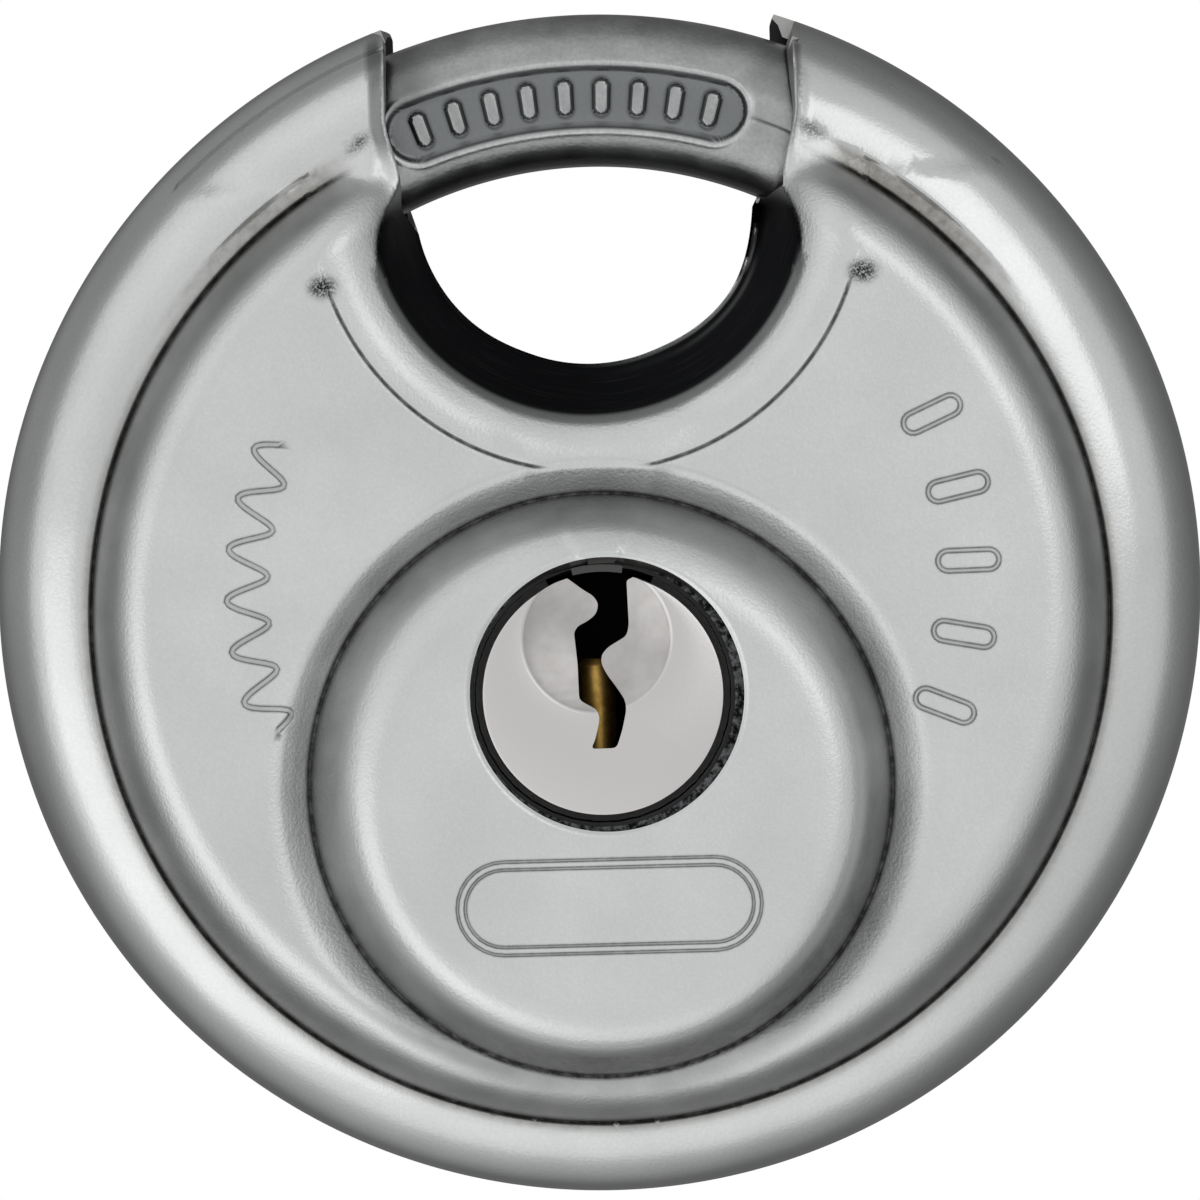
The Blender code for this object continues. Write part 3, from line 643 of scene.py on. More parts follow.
def make_shell(name, pressing, materials):
    """The shell as a closed sheet: its outer surface, the same moved in by the sheet, and the cut edges."""
    plan, z, faces = outer_surface(pressing)
    x, y = plan.T
    outward = pressing.normals(x, y, z)
    bare_z = np.where(np.hypot(x, y) > INNER_RIM, z, pressing.height(x, y, fine=False))
    bare = pressing.normals(x, y, z, fine=False)
    outer = np.stack([x, y, np.maximum(z, SEAM)], 1)
    # the sheet is thinner beside the window, where the bar passes close to its wall
    thinned = smooth_step(14.8, 15.8, y) * smooth_step(8.6, 8.0, pressing.distances(x, y)[3])
    inner = np.stack([x, y, bare_z], 1) - (SHEET * (1 - 0.75 * thinned))[:, None] * bare
    inner[:, 2] = np.maximum(inner[:, 2], SEAM)
    count = len(outer)
    a, b = border_edges(faces).T
    rim = np.concatenate([np.stack([b, a, a + count], 1), np.stack([b, a + count, b + count], 1)])
    all_faces = np.concatenate([faces, faces[:, ::-1] + count, rim])
    points = to_row(np.concatenate([outer, inner]), pressing.side)
    directions = np.concatenate([outward, -bare])
    directions = np.stack([directions[:, 0], -pressing.side * directions[:, 2], directions[:, 1]], 1)
    if pressing.side < 0:
        all_faces = all_faces[:, ::-1]
    mesh = bpy.data.meshes.new(name)
    mesh.from_pydata(points.tolist(), [], all_faces.tolist())
    mesh.shade_smooth()
    corner = points[all_faces[-len(rim):]]
    flat = unit(np.cross(corner[:, 1] - corner[:, 0], corner[:, 2] - corner[:, 0]))
    per_corner = directions[all_faces.ravel()]
    per_corner[-3 * len(rim):] = np.repeat(flat, 3, 0)
    mesh.normals_split_custom_set(per_corner.tolist())
    # one material each for the outside, the inside and the cut edges
    slots = np.repeat(np.arange(3, dtype=np.int32), [len(faces), len(faces), len(rim)])
    mesh.polygons.foreach_set("material_index", slots)
    for material in materials:
        mesh.materials.append(material)
    marks = surface_marks(pressing, x, y)
    set_attributes(mesh, {title: np.concatenate([values, values]) for title, values in marks.items()})
    return show(name, mesh)


def surface_marks(pressing, x, y):
    """How much each point has of the finishes that a press, a polishing wheel and handling leave, and of the
    painted shade and highlights in the sheet's colour.
    """
    r, rho, b, d = pressing.distances(x, y)
    up = y / np.maximum(r, 1)
    groove = smooth_step(0.885, 0.84, up)
    # painted shade on the falling shoulder of the plateau
    painted_shade = band(rho, 19.7, 20.3, 21.2, 21.5) * groove
    brown = smooth_step(0.45, 0.75, up) * groove * band(rho, 21.0, 21.2, 21.8, 22.1)
    brown *= 0.75 + 0.25 * smooth_step(-5, 5, x)
    brown = np.maximum(brown, 0.6 * bump(rho, PLATEAU_RADIUS + 0.25, 0.2) * groove)
    crease = smooth_step(12.9, 12.1, y)
    foot = np.zeros_like(x)
    line = np.zeros_like(x)
    if pressing.boss:
        crease = crease * smooth_step(13.55, 13.8, b)
        foot = smooth_step(14.2, 13.0, b)
        # painted shade in the moat, heavier on its upper side, and in the narrow strip between the boss and the
        # notch
        strip = 0.8 * band(y, 4.2, 4.6, 4.90, 4.99) * smooth_step(3.6, 2.4, np.abs(x))
        moat = band(b, 10.5, 11.1, 12.6, 13.6)
        upper_moat = smooth_step(1.0, 3.0, y) * band(b, 10.9, 11.5, 12.7, 13.3)
        for hollow_shade in (strip, moat, upper_moat):
            painted_shade = np.maximum(painted_shade, hollow_shade)
        # painted shade on the lower right side of the moat
        low_right = (0.45 * x - 0.9 * (y + BOSS_DROP)) / np.maximum(b, 1)
        line = 0.5 * smooth_step(0.1, 0.9, low_right) * band(b, 10.6, 11.2, 11.7, 12.4)
    # the strokes get a dark outline and painted shade inside them
    for mark in pressing.marks:
        gap = mark.distance(x, y)
        line = np.maximum(line, 0.75 * bump(gap, 0, 0.045))
        painted_shade = np.maximum(painted_shade, 0.5 * smooth_step(0.02, -0.04, gap))
    # painted shade along the flared cut edges of the lugs, for the dark surroundings they mirror
    flare_painted_shade = np.zeros_like(x)
    for index, reach in enumerate(FLARE_SHADES):
        edge = band(pressing.inwards(index, x, y), 0.03, 0.12, 0.75 * reach, reach)
        flare_painted_shade = np.maximum(flare_painted_shade, edge * smooth_step(17.6, 19.0, y) * smooth_step(25.0, 24.4, r))
    # the window's wall is painted dark as shade, with a painted highlight along its seam at the lower right
    wall_edge = 9.1 - 0.95 * smooth_step(14.0, 17.0, y)
    wall = smooth_step(wall_edge + 0.12, wall_edge - 0.12, d) * smooth_step(18.6, 17.6, r)
    bright = smooth_step(-1.0, 4.0, x) * smooth_step(15.5, 13.5, y)
    wall = wall * (1 - bright * np.maximum(smooth_step(7.05, 6.97, d), 0.25 * bump(d, 7.32, 0.05)))
    spot = np.zeros_like(x)
    for at_x in SPOTS_X:
        spot = np.maximum(spot, np.exp(-(((x - at_x) / 0.62) ** 2 + ((y - SPOT_Y) / 0.48) ** 2) ** 2))
        spot = np.maximum(spot, 0.95 * smudge(x * np.sign(at_x), y))
    return {
        "line": line, "painted_shade": painted_shade, "brown": brown, "wall": wall, "spot": spot, "groove": groove, "foot": foot,
        "crease": crease, "flare_painted_shade": flare_painted_shade, "neck": foot * smooth_step(2.0, 4.0, y),
        "polish": smooth_step(21.0, 21.8, rho), "wall_far": d, "wall_turn": np.arctan2(x, NOTCH_HEIGHT - y),
    }


# Shackle


def capsule(u, w, half_length, half_width):
    """Distance outside a stadium that lies along u."""
    return np.hypot(np.maximum(np.abs(u) - half_length, 0), w) - half_width


def pad_distances(along, radius):
    """Places past the straight part of the recess in the bar's front and across it, and distances outside
    the recess and the raised bars in it."""
    u = (along - (PAD_START + PAD_END) / 2) * PAD_RADIUS
    w = radius - PAD_RADIUS
    half_length = (PAD_END - PAD_START) / 2 * PAD_RADIUS - PAD_HALF_WIDTH
    spacing = (half_length - 0.2) / PAD_BARS_EACH_SIDE
    nearest = np.clip(np.round(u / spacing), -PAD_BARS_EACH_SIDE, PAD_BARS_EACH_SIDE) * spacing
    return u - half_length, w, capsule(u, w, half_length, PAD_HALF_WIDTH), capsule(w, u - nearest, *PAD_BAR_SIZE)


def shackle_detail(along, radius, front):
    """Height of the forging's detail over the plain bar. along is an angle from the top."""
    past, w, edge, gap = pad_distances(along, radius)
    detail = -PAD_DEPTH * smooth_step(0.06, -0.16, edge)
    detail += 0.06 * bump(edge, 0.15, 0.11)
    detail += PAD_BAR_HEIGHT * smooth_step(0.08, -0.12, gap)
    # the flash line on from the end of the recess
    flash = smooth_step(0.1, 0.5, past - PAD_HALF_WIDTH)
    detail -= 0.07 * flash * bump(w, 0.12 + 0.02 * np.sin(past * 3), 0.07)
    return np.where(front, detail, 0)


def mark_shackle(bar):
    """Painted shade in the recess, in its creases and on the bar's shaded sides and ends, and painted highlights
    on the recess's rim and the raised bars' tops, as attributes.
    """
    place = np.array([tuple(v.co) for v in bar.data.vertices]) / MM
    x, y = place[:, 0], place[:, 2] - DISC_HEIGHT
    turn, far = np.arctan2(x, y), np.hypot(x, y)
    past, w, edge, gap = pad_distances(turn, far)
    turn = np.degrees(turn)
    # painted shade on the bar's top near its ends, beside the lugs
    ends = 0.6 * smooth_step(-14, -19, turn) + 0.45 * smooth_step(16, 20, turn)
    front = place[:, 1] < -1
    tops = smooth_step(0.0, -0.12, gap)
    line = np.maximum(bump(edge, -0.07, 0.08), 0.8 * bump(gap, 0.06, 0.07) * (edge < -0.1))
    line = np.maximum(line, 0.8 * smooth_step(0.1, 0.5, past - PAD_HALF_WIDTH) * bump(w, 0.12, 0.09))
    marks = {
        "pad_painted_shade": smooth_step(0.02, -0.10, edge) * (1 - 0.75 * tops),
        "pad_crease_shade": line,
        "ridge_painted_highlight": np.maximum(bump(edge, 0.18, 0.13), 0.2 * tops),
        "under_painted_shade": np.maximum(smooth_step(18.5, 17.75, far), ends * smooth_step(21.2, 21.9, far)),
    }
    set_attributes(bar.data, {title: values * front for title, values in marks.items()})


def tube_faces(count, sides):
    """Faces round a tube made of count rings with this many points, and over its two ends."""
    faces = []
    for i in range(count - 1):
        for j in range(sides):
            k = (j + 1) % sides
            faces.append((i * sides + j, (i + 1) * sides + j, (i + 1) * sides + k, i * sides + k))
    return [*faces, tuple(range(sides)), tuple((count - 1) * sides + j for j in reversed(range(sides)))]


def make_shackle():
    fine_start, fine_end = PAD_START - radians(1.6), PAD_END + radians(1.6)
    along = np.concatenate([
        np.linspace(TOE + 0.02, fine_start, 12, endpoint=False),
        np.linspace(fine_start, fine_end, 214, endpoint=False),
        np.linspace(fine_end, SHOWN, 22, endpoint=False),
        np.linspace(SHOWN, HEEL - 0.02, 90),
    ])
    # round the section from the outside of the arc, over the front, and back round behind
    section = np.radians(np.concatenate([
        np.linspace(0, 60, 12, endpoint=False),
        np.linspace(60, 134, 56, endpoint=False),
        np.linspace(134, 360, 40, endpoint=False),
    ]))
    turn, psi = np.meshgrid(along, section, indexing="ij")
    power = np.where(np.cos(psi) > 0, *FLATNESS)
    shown = smooth_step(radians(30), radians(24), np.abs(turn))
    power = np.where(np.sin(psi) > 0, 2 + (power - 2) * shown, 2)
    fuller = (np.abs(np.cos(psi)) ** power + np.abs(np.sin(psi)) ** power) ** (-1 / power)
    radius = RACE_RADIUS + BAR_RADIUS * fuller * np.cos(psi)
    height = BAR_RADIUS * fuller + shackle_detail(turn, radius, np.sin(psi) > 0)
    ones = np.ones_like(section)
    toe = [(ones * (TOE + inset), ones * BAR_RADIUS * share) for inset, share in END_ROUNDING]
    heel = [(ones * (HEEL - inset), ones * BAR_RADIUS * share) for inset, share in reversed(END_ROUNDING)]
    at, out = np.array([*toe, *zip(turn, height), *heel]).transpose(1, 0, 2)
    far = RACE_RADIUS + out * np.cos(section)
    points = np.stack([far * np.sin(at), far * np.cos(at), out * np.sin(section)], 2)
    return new_mesh("shackle_bar", to_row(points.reshape(-1, 3)), tube_faces(*at.shape))


def smooth(mesh):
    mesh.shade_smooth()
    mesh.set_sharp_from_angle(angle=radians(32))


def new_mesh(name, points, faces):
    """A piece from points and faces, with its faces turned outwards and its sharp edges kept sharp."""
    mesh = bpy.data.meshes.new(name)
    mesh.from_pydata(np.asarray(points).tolist(), [], faces)
    work = bmesh.new()
    work.from_mesh(mesh)
    bmesh.ops.recalc_face_normals(work, faces=work.faces)
    work.to_mesh(mesh)
    work.free()
    smooth(mesh)
    return show(name, mesh)


def plate(name, outline, low, high):
    """A flat solid with this outline in the lock's plane, between two heights."""
    count = len(outline)
    points = [(x, y, z) for z in (low, high) for x, y in outline]
    sides = [(i, (i + 1) % count, (i + 1) % count + count, i + count) for i in range(count)]
    ends = [tuple(reversed(range(count))), tuple(range(count, 2 * count))]
    return new_mesh(name, to_row(points), sides + ends)


def turned(name, profile, middle, steps):
    """A solid of revolution about an axis through middle. Its (radius, height) points start and end there."""
    inner = profile[1:-1]
    points = [(*middle, profile[0][1]), (*middle, profile[-1][1])]
    for i in range(steps):
        angle = 2 * pi * i / steps
        points += [(middle[0] + r * cos(angle), middle[1] + r * sin(angle), z) for r, z in inner]
    count = len(inner)
    faces = []
    for i in range(steps):
        a = 2 + i * count
        b = 2 + (i + 1) % steps * count
        faces += [(0, a, b), (1, b + count - 1, a + count - 1)]
        faces += [(a + j, a + j + 1, b + j + 1, b + j) for j in range(count - 1)]
    return new_mesh(name, to_row(points), faces)


def cylinder(name, radius, start, end, middle, steps):
    return turned(name, [(0, start), (radius, start), (radius, end), (0, end)], middle, steps)


def cut(piece, *cutters):
    """Takes the cutters out of a piece and removes them."""
    for cutter in cutters:
        change = piece.modifiers.new("cut", "BOOLEAN")
        change.object = cutter
        change.solver = "EXACT"
    bpy.context.view_layer.update()
    evaluated = piece.evaluated_get(bpy.context.evaluated_depsgraph_get())
    mesh = bpy.data.meshes.new_from_object(evaluated)
    piece.modifiers.clear()
    piece.data = mesh
    mesh.name = piece.name
    for cutter in cutters:
        bpy.data.objects.remove(cutter)
    smooth(mesh)


def rounded(outline, reach, steps):
    """The outline with its corners rounded, from reach before each to reach after it."""
    found = []
    count = len(outline)
    for i in range(count):
        before, here, after = (Vector(outline[(i + k) % count]) for k in (-1, 0, 1))
        back, ahead = before - here, after - here
        near = min(reach, back.length * 0.45, ahead.length * 0.45)
        start, end = here + back.normalized() * near, here + ahead.normalized() * near
        for k in range(steps + 1):
            t = k / steps
            found.append(start * (1 - t) ** 2 + here * 2 * t * (1 - t) + end * t**2)
    return found


def stand_up(piece, at_x, at_z):
    """Turns a piece made along the lock's z so that it stands along y at this place."""
    x, depth, up = np.array([tuple(v.co) for v in piece.data.vertices]).T / MM
    stood = to_row(np.stack([x + at_x, -depth, at_z - (up - DISC_HEIGHT)], 1))
    for vertex, place in zip(piece.data.vertices, stood):
        vertex.co = place


def make_plug():
    low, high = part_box("plug")
    face, tail = -low.y / MM, -high.y / MM
    body = turned("plug_face", [
        (0, face), (PLUG_RADIUS - 0.16, face), (PLUG_RADIUS - 0.05, face - 0.04), (PLUG_RADIUS, face - 0.16),
        (PLUG_RADIUS, -4.75), (4.45, -4.75), (4.45, -5.6), (PLUG_RADIUS, -5.6), (PLUG_RADIUS, -5.95),
        (2.6, -5.95), (2.6, tail), (0, tail),
    ], (0, -PLUG_DROP), 160)
    outline = rounded([(x, y - PLUG_DROP) for x, y in KEYWAY], 0.2, 3)
    keyway = plate("keyway", outline, KEYWAY_BACK, 12)
    edge = [(DISH_RADIUS + out, face - down) for out, down in DISH_EDGE]
    floor_radius, floor_rim = edge[0]
    rise = floor_rim - (face - DISH_DEPTH)
    floor = [(floor_radius * i / 12, floor_rim - rise * (1 - (i / 12) ** 2)) for i in range(12)]
    above = [(edge[-1][0], face + 1), (0, face + 1)]
    dish = turned("dish", [*floor, *edge, *above], (DISH_MIDDLE[0], DISH_MIDDLE[1] - PLUG_DROP), 160)
    cut(body, keyway, dish)
    # chambers for the pins, from below
    for i in range(PIN_COUNT):
        drill = cylinder("drill", CHAMBER_RADIUS, CHAMBER_TOP - PLUG_DROP, -20, (0, 0), 32)
        stand_up(drill, 0, FIRST_PIN - PIN_PITCH * i)
        cut(body, drill)
    return body


def paint_plug(plug):
    """Nickel outside, painted shade in the keyway and the chambers, and milled in the dish."""
    plug.data.materials.clear()
    plug.data.materials.append(nickel_material())
    # near black, as painted shade deep in the keyway and the chambers
    plug.data.materials.append(plain("keyway_painted_shade", (0.012, 0.012, 0.012), 0.6, metallic=0))
    plug.data.materials.append(milled_material())
    plug_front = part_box("plug")[0].y
    keyway_floor = -plug_front / MM - KEYWAY_BACK + 0.1
    for face in plug.data.polygons:
        x, y = face.center.x / MM, face.center.z / MM - DISC_HEIGHT + PLUG_DROP
        depth = (face.center.y - plug_front) / MM
        from_dish = hypot(x - DISH_MIDDLE[0], y - DISH_MIDDLE[1])
        in_dish = from_dish < DISH_RADIUS - 0.04 and face.normal.y < -0.5
        if in_dish and 0.01 < depth < DISH_DEPTH + 0.05:
            face.material_index = 2
        elif hypot(x, y) < 4.9 and 0.15 < depth < keyway_floor:
            face.material_index = 1


def slot_shackle(bar):
    """Cuts the slot that the plug's stud engages."""
    half = SLOT_WIDTH / 2
    outline = [
        (x * cos(SLOT_ANGLE) + y * sin(SLOT_ANGLE), -x * sin(SLOT_ANGLE) + y * cos(SLOT_ANGLE))
        for x, y in ((-half, 15), (half, 15), (half, SLOT_FLOOR), (-half, SLOT_FLOOR))
    ]
    cut(bar, plate("slot", outline, -5, SLOT_FRONT))


def make_spring(name, low, high):
    """A coil that fills this box, stood up along its height."""
    wire = SPRING_WIRE * MM
    reach = (high.x - low.x) / 2 - wire
    middle = (low + high) / 2
    foot, top = low.z + wire, high.z - wire
    steps = round(SPRING_TURNS * 24)
    points = []
    for i in range(steps + 1):
        turn = 2 * pi * SPRING_TURNS * i / steps
        outward = Vector((cos(turn), sin(turn), 0))
        centre = Vector((middle.x, middle.y, foot + (top - foot) * i / steps)) + outward * reach
        for k in range(SPRING_SIDES):
            around = 2 * pi * k / SPRING_SIDES
            points.append(centre + outward * wire * cos(around) + Vector((0, 0, wire * sin(around))))
    return new_mesh(name, points, tube_faces(steps + 1, SPRING_SIDES))


# Materials


def grey(level):
    return (level, level, level, 1)


class Graph:
    """Short ways to add nodes to one material or to the world."""

    def __init__(self, tree):
        self.tree = tree
        self.nodes = tree.nodes
        self.where = tree.nodes.new("ShaderNodeTexCoord").outputs["Object"]
        self.plan = None

    def put(self, node, socket, value):
        if hasattr(value, "is_linked"):
            self.tree.links.new(value, node.inputs[socket])
        else:
            node.inputs[socket].default_value = value

    def node(self, kind, *values, **settings):
        """A new node with these settings, and with these values or links in its first sockets."""
        made = self.nodes.new("ShaderNode" + kind)
        for name, setting in settings.items():
            setattr(made, name, setting)
        for socket, value in enumerate(values):
            self.put(made, socket, value)
        return made

    def math(self, operation, a, b, clamp=False):
        return self.node("Math", a, b, operation=operation, use_clamp=clamp).outputs[0]

    def times(self, a, b, clamp=False):
        return self.math("MULTIPLY", a, b, clamp)

    def most(self, first, *others):
        for other in others:
            first = self.math("MAXIMUM", first, other)
        return first

    def mix(self, share, a, b):
        made = self.node("Mix", share, data_type="RGBA")
        self.put(made, 6, a)
        self.put(made, 7, b)
        return made.outputs[2]

    def noise(self, scale, detail=2.0, roughness=0.5, place=None):
        made = self.node("TexNoise", self.where if place is None else place)
        for socket, value in (("Scale", scale), ("Detail", detail), ("Roughness", roughness)):
            self.put(made, socket, value)
        return made.outputs["Fac"]

    def mark(self, name):
        return self.node("Attribute", attribute_name=name).outputs["Fac"]

    def circle(self, middle, radius, half_width):
        """1 on a circle in the lock's plane, fading to 0 at half_width from it."""
        if self.plan is None:
            split = self.node("SeparateXYZ", self.where)
            self.plan = self.node("CombineXYZ", split.outputs[0], 0, split.outputs[2]).outputs[0]
        at = (middle[0] * MM, 0, (middle[1] + DISC_HEIGHT) * MM)
        far = self.node("VectorMath", self.plan, at, operation="DISTANCE").outputs["Value"]
        off = self.math("ABSOLUTE", self.math("SUBTRACT", far, radius * MM), 0)
        return self.range(off, 0.25 * half_width * MM, half_width * MM, 1, 0)

    def range(self, value, low, high, to_low, to_high):
        return self.node("MapRange", value, low, high, to_low, to_high).outputs[0]

    def bump(self, height, distance, strength):
        made = self.node("Bump")
        for socket, value in (("Height", height), ("Distance", distance), ("Strength", strength)):
            self.put(made, socket, value)
        return made.outputs[0]


def plain(name, colour, roughness, metallic=1):
    made = bpy.data.materials.new(name)
    made.use_nodes = True
    shader = made.node_tree.nodes["Principled BSDF"]
    shader.inputs["Base Color"].default_value = (*colour, 1)
    shader.inputs["Metallic"].default_value = metallic
    shader.inputs["Roughness"].default_value = roughness
    return made


def metal(name, colour, roughness):
    """A plain metallic material, its shader node and a Graph for it."""
    made = plain(name, colour, roughness)
    return made, made.node_tree.nodes["Principled BSDF"], Graph(made.node_tree)


def sheet_material():
    """Bead-blasted stainless with a polished rim, grime and painted shade in its grooves and hollows, painted
    shade along the lugs' cut edges, and a glossy window wall painted dark as shade, with painted highlight
    streaks.
    """
    made, shader, g = metal("stainless_sheet", (0.72, 0.735, 0.73), 0.35)
    grain = g.noise(7000, 2, 0.6)
    coarse = g.noise(2200, 2, 0.6)
    cloud = g.noise(260, 3, 0.55)
    polish, wall = g.mark("polish"), g.mark("wall")
    colour = g.mix(g.range(cloud, 0.3, 0.7, 0, 1), (0.74, 0.75, 0.745, 1), (0.68, 0.70, 0.695, 1))
    patches = g.range(g.noise(110, 2, 0.5), 0.38, 0.66, 0.0, 0.5)
    colour = g.mix(patches, colour, (0.60, 0.615, 0.61, 1))
    colour = g.mix(g.range(grain, 0.3, 0.7, 0, 0.16), colour, (0.45, 0.46, 0.46, 1))
    # painted shade on the plateau's shoulder, in the moat, in the strip by the notch and in the strokes
    painted_shade = g.times(g.mark("painted_shade"), g.range(cloud, 0.25, 0.75, 0.35, 0.75), True)
    colour = g.mix(painted_shade, colour, (0.22, 0.225, 0.22, 1))
    brown = g.times(g.mark("brown"), g.range(coarse, 0.3, 0.7, 0.55, 0.9), True)
    colour = g.mix(brown, colour, (0.21, 0.192, 0.172, 1))
    # grime and painted shade in the grooves, with painted shade on the boss's upper side and the moat's lower
    # right, rubbed off here and there
    neck = g.mark("neck")
    lines = g.most(
        g.times(g.circle((0, -PLATEAU_DROP), PLATEAU_RADIUS + 0.02, 0.14), g.mark("groove")),
        g.times(g.circle(FOOT_MIDDLE, FOOT_RADIUS, 0.23), g.mark("foot")),
        g.times(g.times(g.circle(FOOT_MIDDLE, FOOT_RADIUS + 1.45, 0.12), neck), 0.35),
        g.times(g.times(g.circle(FOOT_MIDDLE, FOOT_RADIUS - 0.35, 0.95), neck), 0.35),
        g.times(g.times(g.circle((0, NOTCH_HEIGHT), CREASE_RADIUS + 0.01, 0.13), g.mark("crease")), 0.9),
        g.mark("line"),
    )
    lines = g.times(lines, g.range(coarse, 0.35, 0.6, 0.8, 1.0), True)
    colour = g.mix(g.times(lines, 0.92), colour, (0.012, 0.011, 0.010, 1))
    # painted shade along the lugs' flared cut edges
    colour = g.mix(g.times(g.mark("flare_painted_shade"), 0.8), colour, (0.17, 0.175, 0.175, 1))
    speckle = g.range(g.noise(11000, 2, 0.6), 0.46, 0.62, 1.0, 0.35)
    colour = g.mix(g.times(g.mark("spot"), speckle, True), colour, (0.02, 0.02, 0.018, 1))
    # painted highlight streaks that run round the window's wall, which is painted dark as shade
    along_wall = g.node("CombineXYZ", g.times(g.mark("wall_far"), 4.0), g.times(g.mark("wall_turn"), 0.9))
    streak_highlight = g.range(g.noise(3.0, 3.0, place=along_wall.outputs[0]), 0.54, 0.8, 0.0, 0.09)
    colour = g.mix(wall, colour, g.mix(streak_highlight, (0.030, 0.031, 0.032, 1), grey(0.5)))
    rough = g.mix(polish, grey(0.36), grey(0.21))
    for share, level in ((painted_shade, 0.42), (lines, 0.7), (wall, 0.22)):
        rough = g.mix(share, rough, grey(level))
    waves = g.bump(g.noise(330, 1, 0.4), 0.00012, g.range(polish, 0, 1, 0.04, 0.22))
    pits = g.bump(grain, 0.00004, g.range(polish, 0, 1, 0.45, 0.15))
    g.put(pits.node, "Normal", waves)
    g.put(shader, "Base Color", colour)
    g.put(shader, "Roughness", rough)
    g.put(shader, "Specular Tint", g.mix(wall, grey(1), (0.45, 0.45, 0.46, 1)))
    g.put(shader, "Normal", pits)
    return made


def edge_material():
    made, shader, g = metal("stainless_cut_edge", (0.42, 0.42, 0.41), 0.32)
    g.put(shader, "Normal", g.bump(g.noise(3500), 0.00004, 0.4))
    return made


def bar_material():
    """Dull stainless bar, with painted shade in its recess, its creases and on its shaded sides, and a painted
    highlight on the recess's rim.
    """
    made, shader, g = metal("stainless_bar", (0.42, 0.42, 0.415), 0.34)
    cloud = g.noise(500, 3, 0.6)
    fine = g.noise(6000, 2, 0.6)
    colour = g.mix(g.range(cloud, 0.3, 0.7, 0, 1), (0.36, 0.365, 0.365, 1), (0.50, 0.505, 0.505, 1))
    # painted shade in the recess and its creases, a painted highlight on its rim, and painted shade underneath
    # and at the ends
    colour = g.mix(g.mark("pad_painted_shade"), colour, (0.22, 0.23, 0.235, 1))
    colour = g.mix(g.times(g.mark("ridge_painted_highlight"), 0.7), colour, (0.72, 0.73, 0.73, 1))
    colour = g.mix(g.times(g.mark("pad_crease_shade"), 0.9), colour, (0.02, 0.02, 0.02, 1))
    colour = g.mix(g.times(g.mark("under_painted_shade"), 0.85), colour, (0.05, 0.052, 0.055, 1))
    colour = g.mix(g.range(fine, 0.3, 0.7, 0.0, 0.25), colour, (0.16, 0.165, 0.17, 1))
    g.put(shader, "Base Color", colour)
    g.put(shader, "Roughness", g.range(cloud, 0.3, 0.7, 0.30, 0.42))
    g.put(shader, "Normal", g.bump(fine, 0.00003, 0.35))
    return made


def milled_material():
    """The dished key guide: duller than the face, with the cutter's arcs."""
    made, shader, g = metal("milled_nickel", (0.50, 0.485, 0.475), 0.40)
    shift = g.node("Mapping", g.where)
    shift.inputs["Location"].default_value = (0.004, 0, -(DISC_HEIGHT + 2) * MM)
    arcs = g.node("TexWave", shift.outputs[0], wave_type="RINGS", rings_direction="SPHERICAL")
    for socket, value in (("Scale", 900), ("Distortion", 3.0), ("Detail", 3.0)):
        g.put(arcs, socket, value)
    cloud = g.range(g.noise(900, 3, 0.6), 0.3, 0.7, 0, 1)
    g.put(shader, "Base Color", g.mix(cloud, (0.46, 0.445, 0.435, 1), (0.56, 0.545, 0.535, 1)))
    g.put(shader, "Normal", g.bump(arcs.outputs["Fac"], 0.00001, 0.35))
    return made


def brass_material():
    """Brass seen through grease."""
    made, shader, g = metal("greasy_brass", (0.42, 0.27, 0.08), 0.42)
    cloud = g.range(g.noise(1500, 3, 0.6), 0.35, 0.65, 0, 1)
    g.put(shader, "Base Color", g.mix(cloud, (0.42, 0.25, 0.06, 1), (0.74, 0.47, 0.13, 1)))
    return made


def guard_material():
    """Hardened plate, mottled by grime."""
    made, shader, g = metal("hardened_plate", (0.07, 0.07, 0.075), 0.45)
    mottle = g.range(g.noise(4000, 3, 0.65), 0.42, 0.62, 0, 1)
    g.put(shader, "Base Color", g.mix(mottle, (0.010, 0.010, 0.011, 1), (0.16, 0.165, 0.17, 1)))
    g.put(shader, "Normal", g.bump(g.noise(5000), 0.00006, 0.5))
    return made


def nickel_material():
    made, shader, g = metal("satin_nickel", (0.655, 0.64, 0.63), 0.33)
    g.put(shader, "Normal", g.bump(g.noise(8000, 2, 0.6), 0.00002, 0.25))
    return made


# Build the pieces

badge = [stadium(BADGE_MIDDLE, BADGE_HALF_LENGTH, half_width, BADGE_LEAN) for half_width in BADGE_HALF_WIDTHS]
pills = []
for angle in PILL_ANGLES:
    turn = radians(angle)
    middle = (PILL_RADIUS * sin(turn), PILL_RADIUS * cos(turn) + PILL_RISE)
    pills.append(stadium(middle, *PILL_SIZE, pi / 2 - turn))
wave = []
for i in range(WAVE_STEPS + 1):
    turn = radians(WAVE_START - WAVE_SWEEP * i / WAVE_STEPS)
    radius = WAVE_RADIUS + WAVE_HEIGHT * sin(2 * pi * i / WAVE_PERIOD)
    wave.append((radius * sin(turn), radius * cos(turn)))
marks = [Engraving(badge, BADGE_STROKE), Engraving(pills, PILL_STROKE), Engraving([wave], WAVE_STROKE)]
front = Pressing(1, FRONT_PLATEAU, FRONT_MOUTHS, True, marks)
rear = Pressing(-1, REAR_PLATEAU, REAR_MOUTHS, False)
sheet_materials = [sheet_material(), plain("stainless_inside", (0.09, 0.09, 0.09), 0.5), edge_material()]
front_case = make_shell("front_case", front, sheet_materials)
rear_case = make_shell("rear_case", rear, sheet_materials)
for piece, node in ((front_case, "front_shell"), (rear_case, "rear_shell")):
    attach(piece, "case")
    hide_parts(node)

